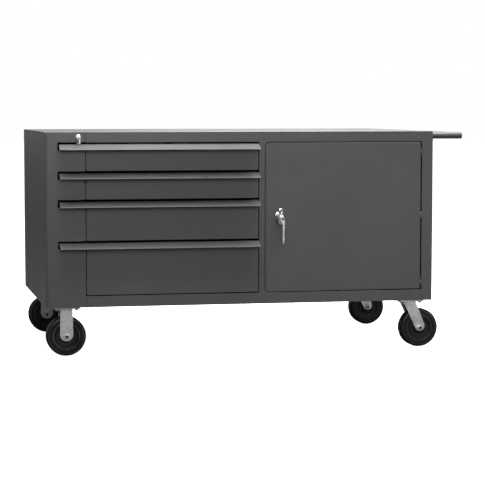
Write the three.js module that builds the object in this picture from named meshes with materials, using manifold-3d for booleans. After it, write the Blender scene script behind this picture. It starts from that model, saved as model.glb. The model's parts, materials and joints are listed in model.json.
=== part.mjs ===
// A mobile steel bench cabinet. A flat worktop stands over four drawers and a compartment with a hinged
// door. A notched locking flap stands beside the drawers, a push handle crosses the right-hand end, and
// the cabinet rolls on two rigid and two swivel casters.
//
// Millimetres, +Z up. Pieces are laid out in cabinet coordinates: X = 0 at mid length, Y = 0 at the face
// of the front frame with +Y to the back, and Z = 0 on the floor. The whole group is then shifted so that
// its origin is the middle of the bottom of the overall box.
import * as THREE from "three";
import { mergeVertices } from "three/addons/utils/BufferGeometryUtils.js";
import Module from "manifold-3d";

const wasm = await Module();
wasm.setup();

// ---------------------------------------------------------------- driving dimensions
const BODY_LENGTH = 1524;
const BODY_DEPTH = 914.4;
const BODY_HEIGHT = 666.75;
const CASTER_HEIGHT = 190.5;
const SHEET = 2;
const TOP_THICKNESS = 4.8;
const GAP = 0.3;

// Front layout. Heights with "DROP" are measured down from the top of the worktop.
const TOP_RAIL_DROP = 40;
const BOTTOM_RAIL_DROP = 624;
const RAIL_FLANGE = 25;
const FLAP_WIDTH = 151.5;
const BAY_RIGHT = 62;
const POST_RIGHT = 86;
const DOOR_GAP = 2.5;
const DOOR_RIGHT = 713.5;
const RIGHT_STILE_WIDTH = 44.2;
const CORNER_RADIUS = 18;

// Drawers: where each handle starts, and where a fifth one would.
const DRAWER_DROPS = [46.5, 156, 264, 421, 628];
const DRAWER_GAP = 8;
const DRAWER_PROUD = 1;
const TRAY_LENGTH = 720;
const TRAY_WALL = 1.5;
const SLIDE_SPACE = 28;
const SLIDE_HEIGHT = 44;
const HANDLE_REACH = 44;
const HANDLE_HEIGHT = 22;
const HANDLE_OVERHANG = 103;

// Locking flap, its rolled hinge and its lock.
const FLAP_FACE = -2.4;
const KNUCKLE_RADIUS = 3.6;
const KNUCKLE_COUNT = 7;
const NOTCH_MARGIN = 7;
const NOTCH_CORNER = 12;
const FLAP_LOCK_DROP = 21;
const FLAP_LOCK_INSET = 25.5;

// Door, its latch and its hinges.
const DOOR_DEPTH = 22;
const DOOR_HANDLE_X = 142;
const DOOR_HANDLE_DROP = 328;
const DOOR_HINGE_DROPS = [80, 330, 590];
const DOOR_KNUCKLE_RADIUS = 3;
const DOOR_KNUCKLE_HEIGHT = 11;
const LATCH_REACH = 62;
const SHELF_DROP = 352;

// Push handle of welded tube on the right-hand end.
const TUBE_RADIUS = 12.7;
const PUSH_REACH = 139.7;
const PUSH_INSET = 70;
const PUSH_DROP = 18.5;

// Casters.
const WHEEL_RADIUS = 76.2;
const WHEEL_WIDTH = 50.8;
const AXLE_RADIUS = 6.35;
const PLATE = { x: 101.6, y: 114.3, thickness: 6.35 };
const LEG_THICKNESS = 4.8;
const LEG_INSIDE = 28.5;
const RIGID_INSET = 82;
const SWIVEL_INSET = 79;
const CASTER_INSET_Y = 73;
const CASTER_TRAIL = 43;

// ---------------------------------------------------------------- derived places
const TOP_Z = CASTER_HEIGHT + BODY_HEIGHT;
const BASE_Z = CASTER_HEIGHT;
const UNDER_TOP = TOP_Z - TOP_THICKNESS - GAP;
const LEFT = -BODY_LENGTH / 2;
const RIGHT = BODY_LENGTH / 2;
const FLAP_RIGHT = LEFT + FLAP_WIDTH;
const BAY_LEFT = FLAP_RIGHT + 4;
const NOTCH_LEFT = BAY_LEFT - HANDLE_OVERHANG - 5;
const DIVIDER_LEFT = (BAY_RIGHT + POST_RIGHT) / 2;
const INSIDE_BACK = BODY_DEPTH - SHEET - GAP;
const RAIL_RIGHT = RIGHT - RIGHT_STILE_WIDTH - GAP;
const STILE_FACE = 1.2;
const FLAP_AXIS = { x: LEFT + KNUCKLE_RADIUS, y: -KNUCKLE_RADIUS };
const FLAP_LOCK = { x: FLAP_RIGHT - FLAP_LOCK_INSET, z: TOP_Z - FLAP_LOCK_DROP };
const DOOR_AXIS = { x: DOOR_RIGHT + 2, y: 0 };
const DOOR_HANDLE_Z = TOP_Z - DOOR_HANDLE_DROP;
const AXLE_Z = WHEEL_RADIUS;
const KEY_REACH = 61.5;
const BOW_HOLE = 7;

/** Height above the floor of a level given as a distance below the worktop. */
const below = (drop) => TOP_Z - drop;

// ---------------------------------------------------------------- finishes
const paint = new THREE.MeshStandardMaterial({ color: 0x4c4e50, roughness: 0.5, metalness: 0.15 });
const zinc = new THREE.MeshStandardMaterial({ color: 0xb4b6b8, roughness: 0.35, metalness: 0.9 });
const chrome = new THREE.MeshStandardMaterial({ color: 0xe2e3e4, roughness: 0.12, metalness: 1 });
const phenolic = new THREE.MeshStandardMaterial({ color: 0x1b1c1d, roughness: 0.45, metalness: 0 });
const keyBrass = new THREE.MeshStandardMaterial({ color: 0xd2d2cc, roughness: 0.25, metalness: 0.95 });

// ---------------------------------------------------------------- shape helpers
/** Block between two opposite corners, given as one range for each axis. */
function block([x0, x1], [y0, y1], [z0, z1]) {
  const geometry = new THREE.BoxGeometry(x1 - x0, y1 - y0, z1 - z0);
  return geometry.translate((x0 + x1) / 2, (y0 + y1) / 2, (z0 + z1) / 2);
}

/** Round bar along an axis; centre holds the other two coordinates, in X, Y, Z order. */
function bar(axis, radius, [u, v], [from, to], sides = 16) {
  const geometry = new THREE.CylinderGeometry(radius, radius, to - from, sides);
  const middle = (from + to) / 2;
  if (axis === "x") return geometry.rotateZ(-Math.PI / 2).translate(middle, u, v);
  if (axis === "y") return geometry.translate(u, middle, v);
  return geometry.rotateX(Math.PI / 2).translate(u, v, middle);
}

/** Outline drawn in X and Z, given a thickness along Y. */
function plate(outline, [y0, y1], curveSegments = 6) {
  const geometry = new THREE.ExtrudeGeometry(outline, { depth: y1 - y0, bevelEnabled: false, curveSegments });
  return geometry.rotateX(Math.PI / 2).translate(0, y1, 0);
}

/** Folded section drawn in Y and Z, run along X. */
function fold(points, [x0, x1]) {
  const outline = new THREE.Shape(points.map(([y, z]) => new THREE.Vector2(y, z)));
  const geometry = new THREE.ExtrudeGeometry(outline, { depth: x1 - x0, bevelEnabled: false });
  return geometry.rotateX(Math.PI / 2).rotateZ(Math.PI / 2).translate(x0, 0, 0);
}

/** Section drawn in X and Z, run along Y. */
function channel(points, range) {
  return plate(new THREE.Shape(points.map(([x, z]) => new THREE.Vector2(x, z))), range);
}

/** Closed solid of a geometry, ready to be joined or cut. */
function solid(geometry) {
  const bare = geometry.clone();
  bare.deleteAttribute("normal");
  bare.deleteAttribute("uv");
  const merged = mergeVertices(bare, 1e-4);
  return new wasm.Manifold(
    new wasm.Mesh({
      numProp: 3,
      vertProperties: merged.attributes.position.array,
      triVerts: new Uint32Array(merged.index.array),
    }),
  );
}

/** Geometry of a closed solid. */
function surface(made) {
  const { vertProperties, triVerts } = made.getMesh();
  const geometry = new THREE.BufferGeometry();
  geometry.setAttribute("position", new THREE.BufferAttribute(vertProperties, 3));
  geometry.setIndex(new THREE.BufferAttribute(triVerts, 1));
  geometry.computeVertexNormals();
  return geometry;
}

/** One solid made of several overlapping ones. */
const join = (first, ...others) => surface(others.reduce((sum, g) => sum.add(solid(g)), solid(first)));

/** What is left of a solid after others are taken out of it. */
const cut = (first, ...tools) => surface(tools.reduce((rest, g) => rest.subtract(solid(g)), solid(first)));

/** Upright tube around (x, y). */
const tube = (outer, inner, centre, [from, to], sides = 12) =>
  cut(bar("z", outer, centre, [from, to], sides), bar("z", inner, centre, [from - 1, to + 1], sides));

// ---------------------------------------------------------------- assembly
const cabinet = new THREE.Group();

/** Adds one named piece to the assembly. */
function add(name, geometry, material) {
  const mesh = new THREE.Mesh(geometry, material);
  mesh.name = name;
  cabinet.add(mesh);
}

// ---------------------------------------------------------------- body
function addBody() {
  const wall = [BASE_Z, UNDER_TOP];
  const between = [LEFT + SHEET + GAP, RIGHT - SHEET - GAP];
  add("worktop", block([LEFT, RIGHT], [0, BODY_DEPTH], [TOP_Z - TOP_THICKNESS, TOP_Z]), paint);
  add("back_panel", block([LEFT, RIGHT], [BODY_DEPTH - SHEET, BODY_DEPTH], wall), paint);
  add("bottom_panel", block(between, [RAIL_FLANGE + GAP, INSIDE_BACK], [BASE_Z, BASE_Z + 2.5]), paint);
  add("left_side", block([LEFT, LEFT + SHEET], [STILE_FACE, INSIDE_BACK], wall), paint);
  add("right_side", foldedSide(wall), paint);
  add("left_stile", leftStile(), paint);
  const inner = [BASE_Z + 2.5 + GAP, UNDER_TOP];
  const behindFace = [RAIL_FLANGE + GAP, INSIDE_BACK];
  add("drawer_bay_wall", block([FLAP_RIGHT, FLAP_RIGHT + SHEET], behindFace, inner), paint);
  add("divider", block([DIVIDER_LEFT, DIVIDER_LEFT + SHEET], behindFace, inner), paint);
}

/** Right-hand side panel with its front edge folded inwards as a stile. */
function foldedSide([z0, z1]) {
  const side = block([RIGHT - SHEET, RIGHT], [0, INSIDE_BACK], [z0, z1]);
  const stile = block([RIGHT - RIGHT_STILE_WIDTH, RIGHT], [0, SHEET], [z0, z1]);
  const recesses = DOOR_HINGE_DROPS.map((drop) => doorKnuckleRoom(drop));
  const knuckles = DOOR_HINGE_DROPS.map((drop) => doorKnuckle(drop, -1));
  return join(cut(join(side, stile), ...recesses), ...knuckles);
}

/** Fixed panel behind the flap, slotted behind the lock and behind each notch, with its half of the hinge. */
function leftStile() {
  const across = [LEFT + SHEET + GAP, FLAP_RIGHT + SHEET];
  const face = block(across, [STILE_FACE, STILE_FACE + SHEET], [BASE_Z, UNDER_TOP]);
  const slots = DRAWER_DROPS.slice(0, -1).map((drop) => {
    const height = [below(drop + HANDLE_HEIGHT), below(drop - NOTCH_MARGIN - 2)];
    return block([NOTCH_LEFT - 1, FLAP_RIGHT + 10], [0, 5], height);
  });
  slots.push(block([FLAP_LOCK.x - 15, FLAP_LOCK.x + 15], [0, 5], [FLAP_LOCK.z - 34, FLAP_LOCK.z + 12]));
  const knuckles = flapKnuckles(0).flatMap((range) => [
    tube(KNUCKLE_RADIUS, 1.9, [FLAP_AXIS.x, FLAP_AXIS.y], range),
    block([FLAP_AXIS.x - 1, FLAP_AXIS.x + 1], [-1.4, STILE_FACE + SHEET], range),
  ]);
  return join(cut(face, ...slots), ...knuckles);
}

// ---------------------------------------------------------------- front frame
function addFrontFrame() {
  const rails = [FLAP_RIGHT + SHEET + GAP, RAIL_RIGHT];
  const top = [UNDER_TOP, below(TOP_RAIL_DROP)];
  const bottom = [BASE_Z, below(BOTTOM_RAIL_DROP)];
  add("top_rail", fold(angleSection(top), rails), paint);
  add("bottom_rail", fold(angleSection(bottom), rails), paint);
  add("centre_post", centrePost(), paint);
  add("shelf", shelf(), paint);
}

/** L section of a rail: a face from the first height to the second, and a flange back from the second. */
function angleSection([start, end]) {
  const inward = Math.sign(start - end) * SHEET;
  return [
    [0, start],
    [0, end],
    [RAIL_FLANGE, end],
    [RAIL_FLANGE, end + inward],
    [SHEET, end + inward],
    [SHEET, start],
  ].reverse();
}

/** Post between the drawers and the door, spread at both ends to round the door opening's corners. */
function centrePost() {
  const [bottom, top] = [below(BOTTOM_RAIL_DROP) + GAP, below(TOP_RAIL_DROP) - GAP];
  const outline = new THREE.Shape();
  outline.moveTo(BAY_RIGHT + 1.5, bottom);
  outline.lineTo(POST_RIGHT + CORNER_RADIUS, bottom);
  const [x, r] = [POST_RIGHT + CORNER_RADIUS, CORNER_RADIUS];
  outline.absarc(x, bottom + r, r, -Math.PI / 2, -Math.PI, true);
  outline.absarc(x, top - r, r, Math.PI, Math.PI / 2, true);
  outline.lineTo(BAY_RIGHT + 1.5, top);
  outline.closePath();
  return plate(outline, [0, SHEET]);
}

/** Shelf of the door compartment, its front edge folded down. */
function shelf() {
  const [front, back] = [42, INSIDE_BACK - GAP];
  const top = below(SHELF_DROP);
  const section = [
    [front, top - 22],
    [front + SHEET, top - 22],
    [front + SHEET, top - SHEET],
    [back, top - SHEET],
    [back, top],
    [front, top],
  ];
  return fold(section, [DIVIDER_LEFT + SHEET + GAP, RIGHT - SHEET - GAP]);
}

// ---------------------------------------------------------------- drawers
function addDrawers() {
  DRAWER_DROPS.slice(0, -1).forEach((drop, i) => {
    const number = i + 1;
    const faceTop = below(drop);
    const faceBottom = below(DRAWER_DROPS[number] - DRAWER_GAP);
    const floor = faceBottom + 8;
    add(`drawer_${number}_front`, drawerFront(faceTop, faceBottom), paint);
    add(`drawer_${number}_tray`, drawerTray(floor, faceTop - HANDLE_HEIGHT), paint);
    add(`drawer_${number}_slide_left`, slideRail(1, floor), zinc);
    add(`drawer_${number}_slide_right`, slideRail(-1, floor), zinc);
  });
}

/** Drawer face, folded out along its top into a sloping pull that runs on to the left through the flap. */
function drawerFront(top, bottom) {
  const right = BAY_RIGHT - 2;
  const face = block([BAY_LEFT, right], [-DRAWER_PROUD, SHEET - DRAWER_PROUD], [bottom, top]);
  const back = 0.4;
  const lip = 2.5;
  const section = [
    [back, top],
    [-DRAWER_PROUD, top],
    [-HANDLE_REACH, top - HANDLE_HEIGHT + lip],
    [-HANDLE_REACH, top - HANDLE_HEIGHT],
    [-HANDLE_REACH + SHEET, top - HANDLE_HEIGHT],
    [-HANDLE_REACH + SHEET, top - HANDLE_HEIGHT + lip - 1.2],
    [back, top - SHEET - 0.5],
  ];
  return join(face, fold(section, [BAY_LEFT - HANDLE_OVERHANG, BAY_RIGHT]));
}

/** Open tray with the runners of its slides along both sides. */
function drawerTray(bottom, top) {
  const [x0, x1] = [FLAP_RIGHT + SHEET + SLIDE_SPACE, DIVIDER_LEFT - SLIDE_SPACE];
  const [y0, y1] = [SHEET - DRAWER_PROUD + GAP, TRAY_LENGTH];
  const outside = block([x0, x1], [y0, y1], [bottom, top]);
  const inside = block(
    [x0 + TRAY_WALL, x1 - TRAY_WALL],
    [y0 + TRAY_WALL, y1 - TRAY_WALL],
    [bottom + TRAY_WALL, top + 1],
  );
  const runnerHeight = [bottom + 4, bottom + SLIDE_HEIGHT - 4];
  const runners = [
    block([FLAP_RIGHT + 5, x0 + 0.5], [30, y1 - 10], runnerHeight),
    block([x1 - 0.5, BAY_RIGHT], [30, y1 - 10], runnerHeight),
  ];
  return join(cut(outside, inside), ...runners);
}

/** Channel that carries a drawer's runner; side is 1 on the left wall of the bay and -1 on the right. */
function slideRail(side, bottom) {
  const wall = side > 0 ? FLAP_RIGHT + SHEET + GAP : DIVIDER_LEFT - GAP;
  const web = 1.5;
  const depth = 20;
  const [z0, z1] = [bottom, bottom + SLIDE_HEIGHT];
  const section = [
    [wall, z0],
    [wall + side * depth, z0],
    [wall + side * depth, z0 + web],
    [wall + side * web, z0 + web],
    [wall + side * web, z1 - web],
    [wall + side * depth, z1 - web],
    [wall + side * depth, z1],
    [wall, z1],
  ];
  return channel(section, [RAIL_FLANGE + 4, TRAY_LENGTH + 40]);
}

// ---------------------------------------------------------------- locking flap
/** Height ranges of the flap hinge's knuckles: parity 0 is fixed, parity 1 moves with the flap. */
function flapKnuckles(parity) {
  const [bottom, top] = [BASE_Z + 2, UNDER_TOP - 2];
  const pitch = (top - bottom) / KNUCKLE_COUNT;
  const starts = Array.from({ length: KNUCKLE_COUNT }, (_, i) => bottom + i * pitch);
  return starts.filter((_, i) => i % 2 === parity).map((start) => [start, start + pitch - 0.6]);
}

/** Outline of one notch, open to the right, its mouth rounded by the corners of the tabs. */
function notchOutline(drop) {
  const [bottom, top] = [below(drop + HANDLE_HEIGHT + 4), below(drop - NOTCH_MARGIN)];
  const [left, right] = [NOTCH_LEFT, FLAP_RIGHT];
  const r = NOTCH_CORNER;
  const outline = new THREE.Shape();
  outline.moveTo(left, bottom);
  outline.lineTo(right - r, bottom);
  outline.absarc(right - r, bottom - r, r, Math.PI / 2, 0, true);
  outline.lineTo(right + 5, bottom - r);
  outline.lineTo(right + 5, top + r);
  outline.lineTo(right, top + r);
  outline.absarc(right - r, top + r, r, 0, -Math.PI / 2, true);
  outline.lineTo(left, top);
  outline.closePath();
  return outline;
}

/** Notched flap with the rolled knuckles that carry it. */
function lockFlap() {
  const height = [BASE_Z, UNDER_TOP - 1];
  const thickness = [FLAP_FACE, FLAP_FACE + SHEET];
  const edge = FLAP_AXIS.x + KNUCKLE_RADIUS + 0.8;
  const sheet = block([edge, FLAP_RIGHT], thickness, height);
  const notches = DRAWER_DROPS.slice(0, -1).map((drop) => plate(notchOutline(drop), [FLAP_FACE - 2, 2]));
  const lockHole = bar("y", 9.8, [FLAP_LOCK.x, FLAP_LOCK.z], [FLAP_FACE - 2, 2]);
  const knuckles = flapKnuckles(1).flatMap((range) => [
    tube(KNUCKLE_RADIUS, 1.9, [FLAP_AXIS.x, FLAP_AXIS.y], range),
    block([FLAP_AXIS.x + 2.4, edge + 1], thickness, range),
  ]);
  return join(cut(sheet, ...notches, lockHole), ...knuckles);
}

function addFlap() {
  const { x, z } = FLAP_LOCK;
  add("lock_flap", lockFlap(), paint);
  add("flap_hinge_pin", bar("z", 1.5, [FLAP_AXIS.x, FLAP_AXIS.y], [BASE_Z + 1, UNDER_TOP - 1], 12), zinc);
  const housing = join(
    bar("y", 11, [x, z], [FLAP_FACE - 3.5, FLAP_FACE - GAP]),
    bar("y", 9.4, [x, z], [FLAP_FACE - 1, 14]),
  );
  add("flap_lock_housing", cut(housing, bar("y", 6.4, [x, z], [-20, 20])), chrome);
  const cam = block([x - 6, x + 6], [14.6, 17.4], [z - 30, z + 6]);
  add("flap_lock_plug", join(bar("y", 6, [x, z], [FLAP_FACE - 4, 15]), cam), chrome);
  const face = FLAP_FACE - 4 - GAP;
  add("flap_key", keyBow(x, z, face, 24, 7.5), keyBrass);
  const hang = { ring: 5, wire: 0.9, aside: 3.5, drop: 24.5, width: 5 };
  add("flap_spare_key", keyOnRing([x, face - 24 + BOW_HOLE, z], hang), keyBrass);
}

// ---------------------------------------------------------------- keys
/** Edge-on bow of a key standing out of a lock at (x, z), with a hole for a ring. */
function keyBow(x, z, face, reach, radius) {
  const bow = bar("x", radius, [face - reach + radius, z], [x - 1, x + 1]);
  const stem = block([x - 1, x + 1], [face - reach + radius, face], [z - 3, z + 3]);
  const hole = bar("x", 2.8, [face - reach + BOW_HOLE, z], [x - 2, x + 2], 12);
  return cut(join(bow, stem), hole);
}

/** Wire ring through a bow at (x, y, z), with a flat key hanging face-on from its right-hand side. */
function keyOnRing([x, y, z], { ring, wire, aside, drop, width }) {
  const loop = new THREE.TorusGeometry(ring, wire, 6, 16).rotateX(Math.PI / 2).translate(x, y, z - ring);
  const blade = [x + aside - width / 2, x + aside + width / 2];
  const flat = block(blade, [y - wire * 0.8, y + wire * 0.8], [z - drop, z - ring * 1.7]);
  return join(loop, flat);
}

// ---------------------------------------------------------------- door
/** Door outline inset on all sides: round corners on the latch side, square ones on the hinge side. */
function doorOutline(inset) {
  const [left, right] = [POST_RIGHT + DOOR_GAP + inset, DOOR_RIGHT - inset];
  const [bottom, top] = [below(BOTTOM_RAIL_DROP) + 3 + inset, below(TOP_RAIL_DROP) - 3 - inset];
  const r = CORNER_RADIUS - 2 - inset;
  const outline = new THREE.Shape();
  outline.moveTo(left + r, bottom);
  outline.lineTo(right, bottom);
  outline.lineTo(right, top);
  outline.lineTo(left + r, top);
  outline.absarc(left + r, top - r, r, Math.PI / 2, Math.PI, false);
  outline.absarc(left + r, bottom + r, r, Math.PI, Math.PI * 1.5, false);
  outline.closePath();
  return outline;
}

/** Hinge knuckle around the door's axis: direction 1 is the door's, above the washer, and -1 the stile's. */
function doorKnuckle(drop, direction) {
  const near = below(drop) + direction * 1;
  const range = [near, near + direction * DOOR_KNUCKLE_HEIGHT].sort((a, b) => a - b);
  const ring = tube(DOOR_KNUCKLE_RADIUS, 1.7, [DOOR_AXIS.x, DOOR_AXIS.y], range);
  const leaf =
    direction > 0
      ? block([DOOR_RIGHT - 5, DOOR_AXIS.x - 1.9], [0, SHEET], range)
      : block([DOOR_AXIS.x + 1.9, RIGHT - RIGHT_STILE_WIDTH + 3], [0, SHEET], range);
  return join(ring, leaf);
}

/** Space that one hinge takes out of the edges beside it. */
function doorKnuckleRoom(drop) {
  const reach = DOOR_KNUCKLE_RADIUS + 0.6;
  const height = [below(drop) - DOOR_KNUCKLE_HEIGHT - 2, below(drop) + DOOR_KNUCKLE_HEIGHT + 2];
  return block([DOOR_AXIS.x - reach, DOOR_AXIS.x + reach], [-reach, reach], height);
}

function addDoor() {
  const { x, z } = { x: DOOR_HANDLE_X, z: DOOR_HANDLE_Z };
  const pan = cut(plate(doorOutline(0), [0, DOOR_DEPTH]), plate(doorOutline(SHEET), [SHEET, DOOR_DEPTH + 1]));
  const spindleHole = bar("y", 6, [x, z], [-1, SHEET + 1]);
  const recesses = DOOR_HINGE_DROPS.map((drop) => doorKnuckleRoom(drop));
  const knuckles = DOOR_HINGE_DROPS.map((drop) => doorKnuckle(drop, 1));
  add("door_panel", join(cut(pan, spindleHole, ...recesses), ...knuckles), paint);
  DOOR_HINGE_DROPS.forEach((drop, i) => add(`door_hinge_pin_${i + 1}`, doorHingePin(drop), zinc));
  const escutcheon = cut(bar("y", 17, [x, z], [-3.7, -GAP]), bar("y", 6, [x, z], [-5, 1]));
  add("door_handle_escutcheon", escutcheon, chrome);
  add("door_handle", doorHandle(x, z), chrome);
  const cam = block([x - 9, x + 9], [24, 27], [z - LATCH_REACH, z + 10]);
  add("door_latch_cam", cut(cam, bar("y", 5.4, [x, z], [20, 30])), zinc);
  const plug = bar("y", 5.5, [x, z], [-35, -20]);
  add("door_key", join(plug, keyBow(x, z, -34.5, KEY_REACH - 34.5, 9)), keyBrass);
  const hang = { ring: 9, wire: 1.1, aside: 6.5, drop: 104, width: 8.5 };
  add("door_spare_key", keyOnRing([x, BOW_HOLE - KEY_REACH, z], hang), keyBrass);
  const strike = block([DIVIDER_LEFT + SHEET + GAP, POST_RIGHT - 1], [17, 21], [z - 25, z + 25]);
  add("latch_strike", strike, zinc);
}

/** Pin of a door hinge with the washer that shows between its two knuckles. */
function doorHingePin(drop) {
  const z = below(drop);
  const pin = bar("z", 1.35, [DOOR_AXIS.x, DOOR_AXIS.y], [z - 11, z + 11], 12);
  return join(pin, bar("z", 2.9, [DOOR_AXIS.x, DOOR_AXIS.y], [z - 0.6, z + 0.6], 16));
}

/** T handle: a hub with two rounded wings, a bore for the lock plug, and its spindle through the door. */
function doorHandle(x, z) {
  const wings = new THREE.Shape();
  const [half, wide, waist] = [32, 9.5, 7];
  wings.moveTo(x + waist, z);
  wings.lineTo(x + wide, z + half - wide);
  wings.absarc(x, z + half - wide, wide, 0, Math.PI, false);
  wings.lineTo(x - waist, z);
  wings.lineTo(x - wide, z - half + wide);
  wings.absarc(x, z - half + wide, wide, Math.PI, Math.PI * 2, false);
  wings.closePath();
  const made = join(
    plate(wings, [-33, -21], 8),
    bar("y", 12, [x, z], [-33.5, -3.7 - GAP]),
    bar("y", 5, [x, z], [-5, 30], 16),
  );
  return cut(made, bar("y", 6, [x, z], [-40, -19], 16));
}

// ---------------------------------------------------------------- push handle
function addPushHandle() {
  const [root, end] = [RIGHT + GAP, RIGHT + PUSH_REACH];
  const [front, back] = [PUSH_INSET, BODY_DEPTH - PUSH_INSET];
  const z = below(PUSH_DROP);
  const arms = [front, back].map((y) => bar("x", TUBE_RADIUS, [y, z], [root, end], 24));
  const grip = bar("y", TUBE_RADIUS, [end - TUBE_RADIUS, z], [front, back], 24);
  const collars = [front, back].map((y) => collar(root, y, z));
  add("push_handle", join(grip, ...arms, ...collars), paint);
}

/** Weld collar where the handle meets the side panel. */
function collar(x, y, z) {
  const geometry = new THREE.CylinderGeometry(TUBE_RADIUS + 1, TUBE_RADIUS + 5, 8, 16);
  return geometry.rotateZ(-Math.PI / 2).translate(x + 4, y, z);
}

// ---------------------------------------------------------------- casters
/** Outline of a fork leg: a straight top edge and two straight sides running to a round end at the axle. */
function legOutline(x, topZ, half, radius, axleX) {
  const end = new THREE.Vector2(axleX, AXLE_Z + 7);
  const leave = tangentAngle(new THREE.Vector2(x - half, topZ), end, radius, 1);
  const arrive = tangentAngle(new THREE.Vector2(x + half, topZ), end, radius, -1);
  const outline = new THREE.Shape();
  outline.moveTo(x + half, topZ);
  outline.lineTo(x - half, topZ);
  outline.absarc(end.x, end.y, radius, leave, arrive + Math.PI * 2, false);
  outline.closePath();
  const hole = new THREE.Path().absarc(axleX, AXLE_Z, AXLE_RADIUS + 0.4, 0, Math.PI * 2, true);
  outline.holes.push(hole);
  return outline;
}

/** Direction from a circle's centre to where a line from an outside point touches it. */
function tangentAngle(from, centre, radius, side) {
  const away = from.clone().sub(centre);
  return Math.atan2(away.y, away.x) + side * Math.acos(radius / away.length());
}

/** The two legs of a fork. */
function legs(x, y, topZ, half, radius, axleX) {
  const outline = legOutline(x, topZ, half, radius, axleX);
  return [
    plate(outline, [y - LEG_INSIDE - LEG_THICKNESS, y - LEG_INSIDE]),
    plate(outline, [y + LEG_INSIDE, y + LEG_INSIDE + LEG_THICKNESS]),
  ];
}

/** Mounting plate with the nuts of its four bolts underneath. */
function mountingPlate(x, y) {
  const top = BASE_Z - GAP;
  const bottom = top - PLATE.thickness;
  const sheet = block([x - PLATE.x / 2, x + PLATE.x / 2], [y - PLATE.y / 2, y + PLATE.y / 2], [bottom, top]);
  const nuts = [-1, 1].flatMap((i) =>
    [-1, 1].map((j) => bar("z", 9, [x + i * 38, y + j * 44.5], [bottom - 8, bottom + 1], 6)),
  );
  return join(sheet, ...nuts);
}

/** Axle bolt with its hexagonal head and nut. */
function axle(x, y) {
  const outside = LEG_INSIDE + LEG_THICKNESS + GAP;
  return join(
    bar("y", AXLE_RADIUS, [x, AXLE_Z], [y - outside - 9, y + outside + 12], 20),
    bar("y", 10.5, [x, AXLE_Z], [y - outside - 8, y - outside], 6),
    bar("y", 10.5, [x, AXLE_Z], [y + outside, y + outside + 9], 6),
  );
}

/** Solid wheel with a raised rim, a dished web and a hub, about an axle along Y. */
function wheel(x, y) {
  const half = WHEEL_WIDTH / 2;
  const side = [
    [AXLE_RADIUS + 0.9, half + 1.6],
    [21, half + 1.6],
    [23, half - 5],
    [46, half - 5],
    [50, half - 1],
    [WHEEL_RADIUS - 6, half],
    [WHEEL_RADIUS - 1.5, half - 4],
    [WHEEL_RADIUS, half - 9],
  ];
  const profile = [...side, ...side.map(([r, h]) => [r, -h]).reverse(), side[0]];
  const points = profile.map(([r, h]) => new THREE.Vector2(r, h)).reverse();
  return new THREE.LatheGeometry(points, 24).translate(x, y, AXLE_Z);
}

function addCasters() {
  const rigidX = LEFT + RIGID_INSET;
  const swivelX = RIGHT - SWIVEL_INSET;
  const rows = { front: CASTER_INSET_Y, rear: BODY_DEPTH - CASTER_INSET_Y };
  for (const [row, y] of Object.entries(rows)) {
    addRigidCaster(row, rigidX, y);
    addSwivelCaster(row, swivelX, y);
  }
}

function addRigidCaster(row, x, y) {
  const legTop = BASE_Z - GAP - PLATE.thickness;
  add(`rigid_fork_${row}`, join(mountingPlate(x, y), ...legs(x, y, legTop + 1, 24, 25.5, x)), zinc);
  add(`rigid_axle_${row}`, axle(x, y), zinc);
  add(`rigid_wheel_${row}`, wheel(x, y), phenolic);
}

function addSwivelCaster(row, x, y) {
  const plateBottom = BASE_Z - GAP - PLATE.thickness;
  const raceBottom = plateBottom - 6;
  const crown = [raceBottom - 6.6, raceBottom - 0.6];
  const topPlate = join(
    mountingPlate(x, y),
    bar("z", 24, [x, y], [raceBottom, plateBottom + 1], 20),
    bar("z", 7, [x, y], [crown[0] - 10, plateBottom], 16),
    bar("z", 11, [x, y], [crown[0] - 9.6, crown[0] - 0.6], 6),
  );
  const spread = LEG_INSIDE + LEG_THICKNESS;
  const crownDisc = bar("z", 25, [x, y], crown, 20);
  const bridge = block([x - 22, x + 22], [y - spread, y + spread], crown);
  const hole = bar("z", 8, [x, y], [crown[0] - 1, crown[1] + 1], 16);
  const axleX = x + CASTER_TRAIL;
  const fork = join(crownDisc, bridge, ...legs(x, y, plateBottom - 1.2, 22, 23.5, axleX));
  add(`swivel_plate_${row}`, topPlate, zinc);
  add(`swivel_fork_${row}`, cut(fork, hole), zinc);
  add(`swivel_axle_${row}`, axle(axleX, y), zinc);
  add(`swivel_wheel_${row}`, wheel(axleX, y), phenolic);
}

addBody();
addFrontFrame();
addDrawers();
addFlap();
addDoor();
addPushHandle();
addCasters();

cabinet.position.set(-PUSH_REACH / 2, -(BODY_DEPTH - KEY_REACH) / 2, 0);

export default cabinet;
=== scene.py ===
"""Mobile steel bench cabinet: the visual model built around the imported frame.

A worktop stands over four drawers and a cupboard. A notched flap locks the drawers, a tubular handle crosses
the right-hand end, and the cabinet rolls on two rigid and two swivel casters. Metres, +Z up, front at -Y.
"""

import json
import logging
import math
from collections.abc import Callable, Iterable, Sequence
from dataclasses import dataclass, field
from enum import Enum

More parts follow.
